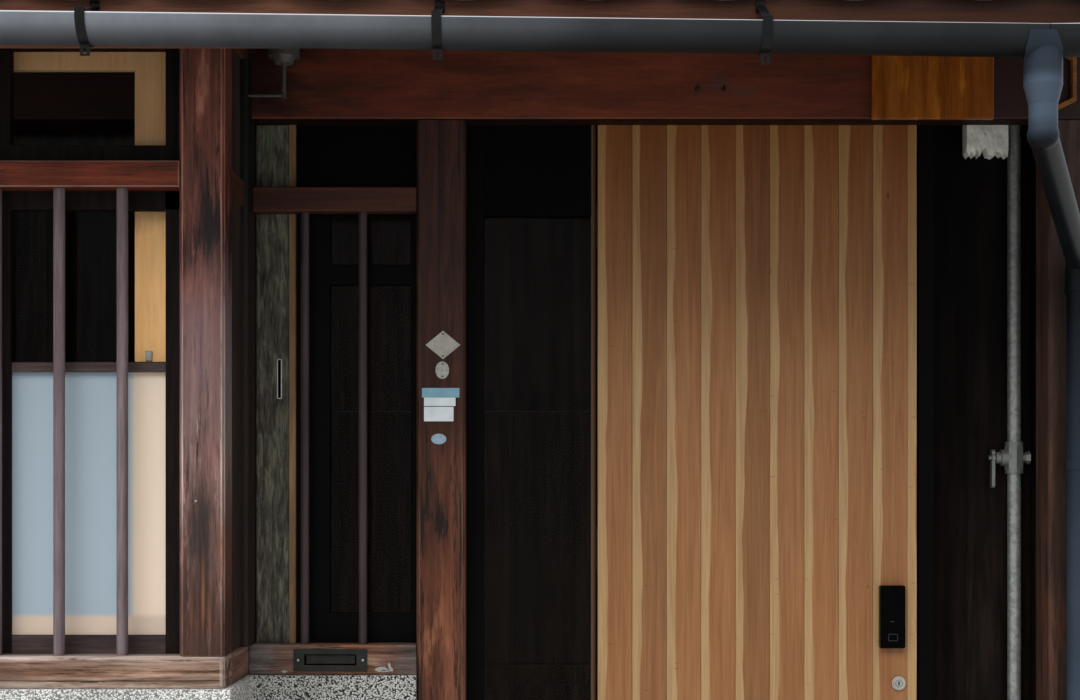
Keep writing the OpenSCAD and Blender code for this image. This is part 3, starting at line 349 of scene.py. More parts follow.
def washedPebbles(name, gap, shade):
    # pebble-dash: rounded washed stones of 4-5 mm in grey cement, dark in the gaps, under soft clouds of
    # dirt; a shade below one darkens it all as painted shade
    material, shader, add = startMaterial(name, 0.75)
    place = add("TexCoord").outputs["Object"]
    cells = add("TexVoronoi", {"Vector": place, "Scale": 1 / pebbleLook["size"], "Randomness": 0.95})
    tone = add("SeparateColor", {0: cells.outputs["Color"]})
    colour = add("ValToRGB", {0: tone}, stops=[
        (0.0, "#6A6B68"), (0.15, "#CFD0CA"), (0.45, "#EDEDE8"), (0.7, "#F8F7F4"), (0.9, "#FFFEFB")])
    between = add("MapRange", {0: cells, 1: 0.5, 2: 0.66})
    colour = add("Mix", {0: between, 6: colour, 7: gap}, **cover)
    cloud = add("TexNoise", {"Vector": place, "Scale": pebbleLook["clouds"], "Detail": 5})
    dirtAndShade = add("MapRange", {0: cloud, 1: 0.3, 2: 0.7, 3: 0.72 * shade, 4: 1.08 * shade})
    colour = add("Mix", {0: 1.0, 6: colour, 7: dirtAndShade}, **multiply)
    dome = add("MapRange", {0: cells, 1: 0.0, 2: 0.62, 3: 1.0, 4: 0.0})
    bump = add("Bump", {"Height": dome, "Distance": pebbleLook["rise"]})
    feed(shader, {"Base Color": colour, "Normal": bump})
    return material


def speckledGranite():
    # chiselled granite: dark, grey and pale warm grains
    material, shader, add = startMaterial("chiselled granite", 0.7)
    place = add("TexCoord").outputs["Object"]
    grains = add("TexVoronoi", {"Vector": place, "Scale": 1 / graniteLook["grain"]})
    tone = add("SeparateColor", {0: grains.outputs["Color"]}).outputs["Green"]
    colour = add("ValToRGB", {0: tone}, stops=[
        (0.0, "#4C4A48"), (0.2, "#84807B"), (0.6, "#A19C95"), (0.9, "#BDB6AC")])
    chisel = {"Vector": place, "Scale": graniteLook["chisel"], "Detail": 6, "Roughness": 0.6}
    bump = add("Bump", {"Height": add("TexNoise", chisel), "Distance": graniteLook["rise"], "Strength": 0.7})
    feed(shader, {"Base Color": colour, "Normal": bump})
    return material


def patchyFinish(name, main, other, size, roughness, metallic=0.0, relief=0.2 * mm, spots=None,
                 spotLevel=0.66, specular=0.3):
    # a plain finish with soft clouds of a second tone, and small spots of dirt or rust
    material, shader, add = startMaterial(name, roughness, metallic, specular)
    place = add("TexCoord").outputs["Object"]
    cloud = add("TexNoise", {"Vector": place, "Scale": 1 / size, "Detail": 5, "Roughness": 0.6})
    colour = add("ValToRGB", {0: cloud}, stops=[(0.35, main), (0.65, other)])
    if spots:
        speck = add("TexNoise", {"Vector": place, "Scale": 6 / size, "Detail": 4, "Roughness": 0.7})
        mask = add("MapRange", {0: speck, 1: spotLevel - 0.04, 2: spotLevel + 0.04})
        colour = add("Mix", {0: mask, 6: colour, 7: spots}, **cover)
    feed(shader, {"Base Color": colour})
    if relief:
        feed(shader, {"Normal": add("Bump", {"Height": cloud, "Distance": relief})})
    return material


def spangledZinc():
    # hot-dip galvanised pipe: flat crystals of zinc, with painted shade that makes it duller and darker
    # upwards under the eave
    material, shader, add = startMaterial("galvanised steel", 0.42, 0.6)
    place = add("TexCoord").outputs["Object"]
    crystal = add("TexVoronoi", {"Vector": place, "Scale": 1 / zincLook["crystal"]})
    tone = add("SeparateColor", {0: crystal.outputs["Color"]})
    colour = add("ValToRGB", {0: tone}, stops=[(0, "#7A7D7B"), (1, "#9B9E9B")])
    height = add("SeparateXYZ", {0: place}).outputs["Z"]
    dirtAndShade = add("MapRange", {0: height, 1: zincLook["from"], 2: zincLook["to"], 3: 1.1, 4: 0.6})
    feed(shader, {"Base Color": add("Mix", {0: 1.0, 6: colour, 7: dirtAndShade}, **multiply)})
    return material


def paneGlass():
    # float glass: lets daylight through to the wood behind it, and shows a weak clear reflection
    material, shader = startMaterial("clear window glass", 0.02, specular=0.5)[:2]
    feed(shader, {"Base Color": "#060707", "Alpha": 0.06})
    return material


frostLook = {"pane": "#B9CAD6", "warm": "#FFEEDA", "low": "#E7D4C2", "stile": 129 * mm, "rail": 89 * mm,
             "blur": 9 * mm, "veil": 0.62}


def acidGlass():
    # acid-etched glass: pale blue-grey, with the light wood that stands close behind it painted in as warm,
    # blurred tones
    material, shader, add = startMaterial("frosted window glass", 0.45)
    low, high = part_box("bay_inner_frame")
    blur, middle = frostLook["blur"], (low.x + high.x) / 2
    opening = (high.x - low.x) / 2 - frostLook["stile"]
    axes = add("SeparateXYZ", {0: add("TexCoord").outputs["Object"]}).outputs
    aside = add("Math", {0: axes["X"], 1: middle}, operation="SUBTRACT")
    aside = add("Math", {0: aside}, operation="ABSOLUTE")
    stile = add("MapRange", {0: aside, 1: opening - blur, 2: opening + blur}, interpolation_type="SMOOTHSTEP")
    top = low.z + frostLook["rail"]
    rail = add("MapRange", {0: axes["Z"], 1: top - blur, 2: top + blur, 3: 1.0, 4: 0.0},
               interpolation_type="SMOOTHSTEP")
    colour = frostLook["pane"]
    for behind, tone in ((stile, "warm"), (rail, "low")):
        colour = add("Mix", {0: behind, 6: colour, 7: frostLook[tone]}, **cover)
    feed(shader, {"Base Color": colour, "Alpha": frostLook["veil"]})
    return material


def reopen(material):
    # a finished material's shader and colour, and the function that adds nodes to it
    shader = material.node_tree.nodes["Principled BSDF"]
    painted = shader.inputs["Base Color"].links[0].from_socket
    return shader, painted, partial(addNode, material.node_tree)


gutterLook = {"bead": 3.5 * mm, "beadEnd": 5 * mm, "beadDeep": 9 * mm, "drop": 34 * mm, "bare": "#C9CCCF",
              "soot": [(0.04, 1.0), (0.2, 0.73), (0.355, 0.52), (0.565, 0.19), (0.67, 0.175), (0.83, 0.12),
                       (1.0, 0.1)], "shadeRun": 1900 * mm, "left": 950 * mm, "fade": 2 * mm, "outlet": 40 * mm,
              "shadeFrom": 26 * mm, "shadeTo": 54 * mm}


def gutterFinish():
    # slate blue paint, with painted shade that darkens it towards the right and towards the bottom, and a
    # painted highlight along the top of the rolled front edge
    material = patchyFinish("slate blue painted steel", "#80858D", "#6A6E75", 0.25, 0.45, relief=0.3 * mm,
                            spots="#3C3532", spotLevel=0.76, specular=0.12)
    shader, painted, add = reopen(material)
    low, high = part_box("gutter")
    outlet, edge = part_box("downpipe")[0].x + gutterLook["outlet"], low.y + gutterLook["beadDeep"]
    axes = add("SeparateXYZ", {0: add("TexCoord").outputs["Object"]}).outputs
    rim = add("MapRange", {0: axes["X"], 1: low.x, 2: outlet, 3: high.z, 4: high.z - gutterLook["drop"]})
    below = add("Math", {0: rim, 1: axes["Z"]}, operation="SUBTRACT")
    # painted highlight: a thin pale line along the top of the bead
    bare = add("MapRange", {0: below, 1: gutterLook["bead"], 2: gutterLook["beadEnd"], 3: 1.0, 4: 0.0})
    front = add("MapRange", {0: axes["Y"], 1: edge, 2: edge + gutterLook["fade"], 3: 1.0, 4: 0.0})
    bare = add("Math", {0: bare, 1: front}, operation="MULTIPLY")
    # painted shade: darker and darker towards the right
    start = eye.x - gutterLook["left"]
    across = add("MapRange", {0: axes["X"], 1: start, 2: start + gutterLook["shadeRun"]})
    soot = add("ValToRGB", {0: across}, stops=gutterLook["soot"])
    # painted shade: darker towards the bottom of the gutter
    under = add("MapRange", {0: below, 1: gutterLook["shadeFrom"], 2: gutterLook["shadeTo"], 3: 1.0, 4: 0.35})
    for shade in (soot, under):
        painted = add("Mix", {0: 1.0, 6: painted, 7: shade}, **multiply)
    feed(shader, {"Base Color": add("Mix", {0: bare, 6: painted, 7: gutterLook["bare"]}, **cover)})
    return material


jambLook = {"left": seenX(edges["jambLeft"], frontY), "right": seenX(edges["jambRight"], frontY),
            "tones": [(0.0, "#150C0A"), (0.14, "#5C473D"), (0.5, "#4E3A2C"), (0.72, "#382310"),
                      (0.94, "#2E1C0A"), (0.97, "#050404")]}


def jambFinish():
    # black paint, with the narrow strip beside the door left in bare brown wood, which darkens towards the
    # door side as painted shadow of the gap there
    material = patchyFinish("black painted door frame", "#040404", "#080707", 0.2, 0.5, specular=0.05)
    shader, painted, add = reopen(material)
    across = add("SeparateXYZ", {0: add("TexCoord").outputs["Object"]})
    share = add("MapRange", {0: across, 1: jambLook["left"], 2: jambLook["right"]})
    bare = add("ValToRGB", {0: share}, stops=jambLook["tones"])
    beside = add("Math", {0: across, 1: jambLook["left"]}, operation="GREATER_THAN")
    feed(shader, {"Base Color": add("Mix", {0: beside, 6: painted, 7: bare}, **cover)})
    return material


# painted light and shade along the pipe's height
pipeLook = {"from": 1.0, "to": 2.42, "tones": [
    (0.0, 0.72), (0.07, 0.62), (0.4, 0.43), (0.66, 0.07), (0.85, 0.08), (0.89, 1.0), (0.94, 1.0),
    (0.955, 0.44), (1.0, 0.48)]}


def pipeFinish():
    # dark blue paint, with painted shade that makes it nearly black below the eave and a painted highlight
    # that makes the sleeve under the collector paler
    material = patchyFinish("dark blue painted steel", "#475261", "#3B4654", 0.3, 0.4, specular=0.12)
    shader, painted, add = reopen(material)
    height = add("SeparateXYZ", {0: add("TexCoord").outputs["Object"]}).outputs["Z"]
    height = add("MapRange", {0: height, 1: pipeLook["from"], 2: pipeLook["to"]})
    tone = add("ValToRGB", {0: height}, stops=pipeLook["tones"])
    feed(shader, {"Base Color": add("Mix", {0: 1.0, 6: painted, 7: tone}, **multiply)})
    return material


pebbles = washedPebbles("pebble-dash", "#80817D", 1.08)
# painted shade: the base under the middle window stands back in shadow, so its stones and gaps are darkened
shadedPebbles = washedPebbles("shaded pebble-dash", "#2C2E2A", 0.7)
granite = speckledGranite()
zinc = spangledZinc()
clearGlass = paneGlass()
frostedGlass = acidGlass()
gutterPaint = gutterFinish()
downpipePaint = pipeFinish()
jambPaint = jambFinish()
blackLacquer = patchyFinish("black painted frame", "#040404", "#080707", 0.2, 0.5, specular=0.05)
# black paint for the transom boards, also laid as painted shade in the pull's hollow and the keyway
matteBlackAndShade = patchyFinish("black board paint and painted shade", "#030303", "#060606", 0.3, 0.5, specular=0.04)
lockPaint = patchyFinish("gloss black enamel", "#020202", "#030303", 0.1, 0.15, relief=0, specular=0.03)
steel = patchyFinish("polished steel", "#A9A6A0", "#C3C0BA", 0.03, 0.3, 1.0, relief=0)
agedIron = patchyFinish("blackened iron", "#1B1B1A", "#2B2A28", 0.05, 0.5, 0.4, spots="#4B2E1C")
letterMetal = patchyFinish("aged bronze", "#1E211E", "#2C2F2A", 0.05, 0.42, 0.5)
strapPaint = patchyFinish("black painted iron", "#0C0C0E", "#141416", 0.05, 0.3, 0.1, spots="#2A1810",
                          specular=0.22)
brassCock = patchyFinish("dull plated brass", "#6F736F", "#7F827E", 0.03, 0.4, 0.6, spots="#41413C")
oldPlaster = patchyFinish("old grey plaster", "#E4E3DC", "#BDBCB3", 0.05, 0.9, relief=2.5 * mm,
                          spots="#7E7C74")
earthPlaster = patchyFinish("earth plaster", "#B7A488", "#A89476", 0.6, 0.92, relief=1.5 * mm,
                            spots="#9C8868")
# painted shade: the white porcelain fitting is given a dark grey for the shade it hangs in, with dark spots
# of dirt
porcelain = patchyFinish("shaded porcelain", "#40403C", "#545450", 0.03, 0.35, relief=0, spots="#2E2C28")
roofTile = patchyFinish("smoked roof tile", "#5A5D61", "#474A4E", 0.12, 0.42, 0.15, relief=0.6 * mm,
                        spots="#3A3B3A")
flakePaint = patchyFinish("old white paint", "#A8A6A2", "#8E8A86", 0.01, 0.7, relief=0.3 * mm)

finishes = {
    "foundation_stones": granite, "threshold": granite, "bay_base_front": pebbles, "bay_base_sides": pebbles,
    "middle_base": shadedPebbles, "bay_sill": sillWood, "bay_side_sills": sideSillWood,
    "middle_sill": middleSillWood, "bay_posts": postWood, "middle_post": middlePostWood,
    "party_posts": endPostWood, "main_beam": beamWood, "bay_head_rail": beamWood, "bay_side_rails": sideWood,
    "bay_rail": railWood, "middle_rail": middleRailWood, "window_bars": barWood, "bay_lower_sash": sashWood,
    "bay_frosted_glass": frostedGlass, "bay_upper_sash": sashWood, "clear_glass": clearGlass,
    "bay_inner_frame": pineWood, "bay_side_boards": sideBoardWood, "rough_panel": mossyWood,
    "trim_strip": trimWood, "middle_window_frame": blackLacquer, "transom_boards": matteBlackAndShade,
    "entrance_frame": jambPaint, "frame_hinge_leaves": agedIron, "door_boards": ledgeWood,
    "door_ledges": ledgeWood, "door_hinge_leaves": agedIron, "lock_unit": lockPaint, "lock_cylinder": steel,
    "letter_frame": letterMetal, "letter_flap": letterMetal, "board_wall": darkBoardWood, "gas_pipe": zinc,
    "gas_cock": brassCock, "gas_lever": brassCock, "plaster_remnant": oldPlaster,
    "varnished_board": varnishedWood, "porcelain_fitting": porcelain, "octagonal_frame": octagonWood,
    "party_walls": earthPlaster, "party_wall_rails": sideWood, "rear_wall": rearBoardWood,
    "eave_boards": eaveBoardWood, "roof_cap": roofTile, "ceiling": roofBoardWood, "fascia": fasciaWood,
    "rafters": rafterWood, "roof_boards": roofBoardWood, "roof_tiles": roofTile, "gutter": gutterPaint,
    "gutter_brackets": strapPaint, "downpipe": downpipePaint}
for name, material in finishes.items():
    mesh = nodes[name].data
    mesh.materials.clear()
    mesh.materials.append(material)
print("finishes set on", len(finishes), "nodes")


# making pieces
record = frame["record"]
bodyOf = {name: body for body, members in record["behaviour"]["bodies"].items() for name in members}


def keepPiece(shape, name, material, body="house", replaced=None, smooth=False):
    mesh = bpy.data.meshes.new(name)
    shape.to_mesh(mesh)
    shape.free()
    for one in (material if isinstance(material, list) else [material]):
        mesh.materials.append(one)
    for polygon in mesh.polygons:
        polygon.use_smooth = smooth
    piece = bpy.data.objects.new(name, mesh)
    bpy.context.scene.collection.objects.link(piece)
    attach(piece, body)
    if replaced:
        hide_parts(replaced)


def edgesOf(corners):
    return list(dict.fromkeys(edge for corner in corners for edge in corner.link_edges))


def addBlock(shape, low, high, edge=0.0, segments=1, turn=None):
    low, high = Vector(low), Vector(high)
    made = bmesh.ops.create_cube(shape, size=1)["verts"]
    bmesh.ops.scale(shape, vec=high - low, verts=made)
    if turn:
        bmesh.ops.rotate(shape, cent=(0, 0, 0), matrix=turn, verts=made)
    bmesh.ops.translate(shape, vec=(low + high) / 2, verts=made)
    if edge:
        bmesh.ops.bevel(shape, geom=edgesOf(made), offset=edge, segments=segments, profile=0.5,
                        affect="EDGES", material=-1)
    return made


def addPlate(shape, left, right, bottom, top, faceY, thick, **settings):
    # a block with its back on an upright face
    return addBlock(shape, (left, faceY - thick, bottom), (right, faceY, top), **settings)


def addBorder(shape, left, right, bottom, top, wide, faceY, thick):
    # four strips along the sides of an upright rectangle
    for strip in ((left, left + wide, bottom, top), (right - wide, right, bottom, top),
                  (left, right, bottom, bottom + wide), (left, right, top - wide, top)):
        addPlate(shape, *strip, faceY, thick)


def addRod(shape, start, end, radius, sides=20):
    start, end = Vector(start), Vector(end)
    run = end - start
    made = bmesh.ops.create_cone(shape, cap_ends=True, segments=sides, radius1=radius, radius2=radius,
                                 depth=run.length)["verts"]
    bmesh.ops.rotate(shape, cent=(0, 0, 0), matrix=run.to_track_quat("Z", "Y").to_matrix(), verts=made)
    bmesh.ops.translate(shape, vec=(start + end) / 2, verts=made)
    return made


def addBall(shape, place, radius, flat=1.0):
    made = bmesh.ops.create_icosphere(shape, subdivisions=2, radius=radius)["verts"]
    bmesh.ops.scale(shape, vec=(1, flat, 1), verts=made)
    bmesh.ops.translate(shape, vec=place, verts=made)


def addRing(shape, centre, radius, thick, tiltAxis, turns, sides):
    # a ring of round wire, made flat and then tilted upright
    done = set(shape.verts)
    upright = Matrix.Rotation(math.pi / 2, 3, "X")
    made = bmesh.ops.create_circle(shape, cap_ends=False, segments=sides, radius=thick)["verts"]
    bmesh.ops.rotate(shape, cent=(0, 0, 0), matrix=upright, verts=made)
    bmesh.ops.translate(shape, vec=(radius, 0, 0), verts=made)
    bmesh.ops.spin(shape, geom=edgesOf(made) + made, cent=(0, 0, 0), axis=(0, 0, 1), angle=2 * math.pi,
                   steps=turns, use_merge=True)
    ring = [corner for corner in shape.verts if corner not in done]
    bmesh.ops.rotate(shape, cent=(0, 0, 0), matrix=Matrix.Rotation(math.pi / 2, 3, tiltAxis), verts=ring)
    bmesh.ops.translate(shape, vec=centre, verts=ring)
    bmesh.ops.recalc_face_normals(shape, faces=shape.faces)


def squash(shape, made, x, z, share):
    bmesh.ops.scale(shape, vec=(1, 1, share), space=Matrix.Translation((-x, 0, -z)), verts=made)


def thicken(shape, thick):
    bmesh.ops.recalc_face_normals(shape, faces=shape.faces)
    bmesh.ops.solidify(shape, geom=shape.faces[:], thickness=thick)
    bmesh.ops.recalc_face_normals(shape, faces=shape.faces)


# timbers and stones with worn edges
# pale wood for the rounded edges of the posts, rail and sill: rubbed wear, with a painted highlight where the
# edges catch the light
edgeWearAndHighlight = {"bay_posts": postEdgeWood, "middle_post": pineEdgeWood, "bay_rail": railEdgeWood,
            "bay_sill": sillEdgeWood}
wornLook = {"backDeep": 150 * mm, "weld": 0.02 * mm, "flatAngle": 1, "sharpAngle": 25, "segments": 2,
            "downward": -0.5}
# widths of the rounded edges in millimetres
wornEdges = {"foundation_stones": 9, "threshold": 7, "bay_sill": 4, "bay_side_sills": 4, "middle_sill": 3,
             "bay_rail": 3, "middle_rail": 3, "main_beam": 6, "bay_head_rail": 4, "bay_side_rails": 3,
             "bay_lower_sash": 1.5, "bay_upper_sash": 1.5, "middle_window_frame": 2, "entrance_frame": 2,
             "bay_inner_frame": 2, "varnished_board": 2.5, "fascia": 2.5, "rough_panel": 3, "bay_posts": 2,
             "middle_post": 2.5, "party_posts": 3, "trim_strip": 1.5, "party_wall_rails": 5, "rafters": 2,
             "octagonal_frame": 1.5, "door_ledges": 2}


def roundEdges(node, width):
    shape = bmesh.new()
    shape.from_mesh(nodes[node].data)
    bmesh.ops.remove_doubles(shape, verts=shape.verts, dist=wornLook["weld"])
    bmesh.ops.dissolve_limit(shape, angle_limit=math.radians(wornLook["flatAngle"]), verts=shape.verts,
                             edges=shape.edges)
    least = math.radians(wornLook["sharpAngle"])
    sharp = [edge for edge in shape.edges if len(edge.link_faces) == 2 and edge.calc_face_angle(0) > least]
    made = bmesh.ops.bevel(shape, geom=sharp, offset=width * mm, segments=wornLook["segments"], profile=0.5,
                           affect="EDGES", material=-1, clamp_overlap=True)
    finish, other = [finishes[node]], []
    # the bevelled faces get the pale edge wood: wear and painted highlight
    if node in edgeWearAndHighlight:
        finish.append(edgeWearAndHighlight[node])
        for face in made["faces"]:
            face.material_index = 1
    if node == "bay_posts":
        finish.append(shadedPostWood)
        back = frontY - wornLook["backDeep"]
        other = [face for face in shape.faces if face.calc_center_median().y > back]
    # painted shade: faces that look down get the near-black underside wood
    if node == "main_beam":
        finish.append(shadedBeamUnderside)
        other = [face for face in shape.faces if face.normal.z < wornLook["downward"]]
    for face in other:
        face.material_index = len(finish) - 1
    name = "worn" + "".join(word.capitalize() for word in node.split("_"))
    keepPiece(shape, name, finish, bodyOf[node], node)


def splitBars():
    # the bars of the bay catch the light, the two by the middle post stand in its shade
    shape = bmesh.new()
    shape.from_mesh(nodes["window_bars"].data)
    for face in shape.faces:
        face.material_index = int(face.calc_center_median().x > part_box("rough_panel")[0].x)
    keepPiece(shape, "windowBars", [barWood, shadedBarWood], replaced="window_bars")


for node, width in wornEdges.items():
    roundEdges(node, width)
splitBars()
print("edges rounded on", len(wornEdges), "pieces")


# cedar door: nine boards and the strip at the lock side, each board with its pale sapwood at the left
doorLook = {"boards": 9, "pitch": 87.5 * mm, "joint": 0.8 * mm, "edge": 0.6 * mm, "edgeSegments": 2,
            "setBack": 0.2 * mm, "sapLeast": 11 * mm, "sapMost": 35 * mm, "sapEdge": 1.2 * mm,
            "wave": 625 * mm, "grain": 14 * mm, "fine": 2.6 * mm, "knots": 95 * mm, "nicks": 70 * mm,
            "relief": 0.25 * mm, "shadeFrom": 1.8, "heart": "#956944", "heartDark": "#815533",
            "sap": "#AC8B63", "sapDark": "#9A7953", "heartTopShade": "#D2AC6C", "sapTopShade": "#DAC29A",
            "knot": "#5A3720"}
doorLow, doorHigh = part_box("door_boards")


def cedarBoards():
    # oiled cedar: red-brown heartwood, cream sapwood, fine straight grain and pin knots
    material, shader, add = startMaterial("oiled red cedar", 0.5)
    look, place = doorLook, add("TexCoord").outputs["Object"]
    axes = add("SeparateXYZ", {0: place}).outputs
    across = add("Math", {0: axes["X"], 1: doorLow.x}, operation="SUBTRACT")
    share = add("Math", {0: across, 1: look["pitch"]}, operation="DIVIDE")
    board = add("Math", {0: share}, operation="FLOOR")
    inside = add("Math", {0: share}, operation="FRACT")
    inside = add("Math", {0: inside, 1: look["pitch"]}, operation="MULTIPLY")
    tone = add("TexWhiteNoise", {"W": board}, noise_dimensions="1D")
    away = add("VectorMath", {0: tone.outputs["Color"], 1: (2, 2, 9)}, operation="MULTIPLY")
    place = add("VectorMath", {0: place, 1: away}, operation="ADD")
    wave = pattern(add, "TexNoise", place, (0, 0, 1), look["wave"], Detail=3)
    edge = add("MapRange", {0: wave, 1: 0.3, 2: 0.7, 3: look["sapLeast"], 4: look["sapMost"]})
    step = add("Math", {0: inside, 1: edge}, operation="SUBTRACT")
    heartShare = add("MapRange", {0: step, 1: -look["sapEdge"], 2: look["sapEdge"]})
    grain = pattern(add, "TexNoise", place, (1, 1, 0.035), look["grain"], Detail=5, Roughness=0.6,
                    Distortion=0.8)
    fine = pattern(add, "TexNoise", place, (1, 1, 0.02), look["fine"], Detail=2)
    heart = add("ValToRGB", {0: grain}, stops=[(0.32, look["heartDark"]), (0.68, look["heart"])])
    level = add("MapRange", {0: tone, 3: 0.86, 4: 1.12})
    heart = add("Mix", {0: 1.0, 6: heart, 7: level}, **multiply)
    sap = add("ValToRGB", {0: grain}, stops=[(0.3, look["sapDark"]), (0.6, look["sap"])])
    colour = add("Mix", {0: heartShare, 6: sap, 7: heart}, **cover)
    streak = add("MapRange", {0: fine, 1: 0.3, 2: 0.6, 3: 0.86, 4: 1.04})
    colour = add("Mix", {0: 1.0, 6: colour, 7: streak}, **multiply)
    knots = pattern(add, "TexVoronoi", place, (1, 1, 0.5), look["knots"])
    spot = add("MapRange", {0: knots, 1: 0.025, 2: 0.06, 3: 0.75, 4: 0.0})
    colour = add("Mix", {0: spot, 6: colour, 7: look["knot"]}, **cover)
    # painted shade: the boards darken and warm towards their top, under the eave
    height = add("MapRange", {0: axes["Z"], 1: look["shadeFrom"], 2: doorHigh.z})
    shade = add("Mix", {0: heartShare, 6: look["sapTopShade"], 7: look["heartTopShade"]}, **cover)
    colour = add("Mix", {0: height, 6: colour, 7: shade}, **multiply)
    nicks = pattern(add, "TexVoronoi", place, (1, 1, 4.5), look["nicks"])
    chosen = add("SeparateColor", {0: nicks.outputs["Color"]})
    chosen = add("MapRange", {0: chosen, 1: 0.76, 2: 0.78, 3: 0.0, 4: 0.55})
    mark = add("MapRange", {0: nicks, 1: 0.03, 2: 0.13, 3: 1.0, 4: 0.0})
    mark = add("Math", {0: mark, 1: chosen}, operation="MULTIPLY")
    colour = add("Mix", {0: mark, 6: colour, 7: look["knot"]}, **cover)
    feed(shader, {"Base Color": colour, "Normal": add("Bump", {"Height": grain, "Distance": look["relief"]})})
    return material


def buildDoor():
    joint, boards = doorLook["joint"], doorLook["boards"]
    shape = bmesh.new()
    for i in range(boards + 1):
        left = doorLow.x + i * doorLook["pitch"] + (joint / 2 if i else 0)
        right = doorHigh.x if i == boards else left + doorLook["pitch"] - joint
        addBlock(shape, (left, doorLow.y, doorLow.z), (right, doorHigh.y - doorLook["setBack"], doorHigh.z),
                 doorLook["edge"], doorLook["edgeSegments"])
    keepPiece(shape, "doorBoards", cedarBoards(), "entrance_door", "door_boards")


buildDoor()
print("door boards ready")


# roof: S-shaped tiles on the courses of the CAD roof
tileLook = {"columns": 12, "courses": 4, "thick": 15 * mm, "wave": 26 * mm, "lap": 62 * mm, "drop": 14 * mm,
            "facets": 12, "panShare": 0.72, "panDeep": 0.55, "rollHigh": 0.5, "tuck": 0.045, "seat": 0.6,
            "boardThick": 12 * mm}


def waveAt(share):
    # height across one tile, as a share of the wave: a wide hollow and then a narrow roll
    pan = tileLook["panShare"]
    hollow = -math.sin(math.pi * min(share / pan, 1)) * tileLook["panDeep"]
    roll = math.sin(math.pi * (share - pan) / (1 - pan)) * tileLook["rollHigh"] if share > pan else 0
    return hollow + roll


def buildRoof():
    low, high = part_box("roof_tiles")
    boardsLow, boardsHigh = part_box("roof_boards")
    wave, courses, facets = tileLook["wave"], tileLook["courses"], tileLook["facets"]
    width, run = (high.x - low.x) / tileLook["columns"], (high.y - low.y) / courses
    slope = (boardsHigh.z - boardsLow.z - tileLook["boardThick"]) / (boardsHigh.y - boardsLow.y)
    tilt = math.atan(slope)
    turn = Matrix.Rotation(tilt - tileLook["tuck"], 3, "X")
    shape = bmesh.new()
    for row in range(courses):
        long = run / math.cos(tilt) + (tileLook["lap"] if row < courses - 1 else 0)
        for column in range(tileLook["columns"]):
            made = bmesh.ops.create_grid(shape, x_segments=facets, y_segments=1, size=0.5)["verts"]
            for v in made:
                v.co = Vector((v.co.x * width, (v.co.y + 0.5) * long, waveAt(v.co.x + 0.5) * wave))
            bmesh.ops.rotate(shape, cent=(0, 0, 0), verts=made, matrix=turn)
            place = (low.x + (column + 0.5) * width, low.y + row * run,
                     low.z + row * run * slope + wave * tileLook["seat"] + tileLook["drop"])
            bmesh.ops.translate(shape, vec=place, verts=made)
    thicken(shape, tileLook["thick"])
    keepPiece(shape, "roofTiles", roofTile, replaced="roof_tiles")


buildRoof()
print("roof tiles ready")


# collector: a band of the same sheet wraps the gutter above the downpipe
collectorLook = {"halfWide": 39 * mm, "topHalf": 27 * mm, "lean": -15 * mm, "radius": 53.5 * mm,
                 "thick": 2 * mm, "gutterRadius": 52 * mm, "collarRadius": 40 * mm, "start": 190, "end": 350,
                 "steps": 28, "flareShare": 0.25, "leanShare": 0.5}


def buildCollector():
    look, gutterLow = collectorLook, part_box("gutter")[0]
    middle = Vector((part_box("downpipe")[0].x + look["collarRadius"], gutterLow.y + look["gutterRadius"],
                     gutterLow.z + look["gutterRadius"]))
    shape = bmesh.new()
    made = bmesh.ops.create_grid(shape, x_segments=1, y_segments=look["steps"], size=0.5)["verts"]
    for v in made:
        share = v.co.y + 0.5
        turn = math.radians(look["start"] + share * (look["end"] - look["start"]))
        wide = look["topHalf"] + min(share / look["flareShare"], 1) * (look["halfWide"] - look["topHalf"])
        lean = look["lean"] * max(1 - share / look["leanShare"], 0)
        v.co = middle + Vector((v.co.x * 2 * wide + lean, look["radius"] * math.cos(turn),
                                look["radius"] * math.sin(turn)))
    thicken(shape, -look["thick"])
    keepPiece(shape, "collectorBand", downpipePaint)


buildCollector()
print("collector ready")


# bare plates and stickers on the middle post, placed in pixels of the photograph
plateLook = {"thick": 1.6 * mm, "film": 0.6 * mm, "nail": 2.2 * mm, "ovalSides": 28,
             "diamond": {"spot": (443, 345), "side": 61.6 * mm, "squash": 0.82, "turn": 45},
             "ovals": {"ovalPlate": {"spot": (442.3, 370.2), "radius": 17 * mm, "squash": 1.28},
                       "paleOval": {"spot": (438.8, 439), "radius": 19 * mm, "squash": 0.69}},
             "nails": ((443, 334), (443, 356), (442.3, 364), (442.3, 376.5))}
# each sticker: left, top, right, bottom
stickerEdges = {"blueSticker": (422, 388, 459.4, 397.5), "upperSticker": (424, 397.6, 455.5, 406),
                "lowerSticker": (424, 406.8, 453.5, 421.3)}


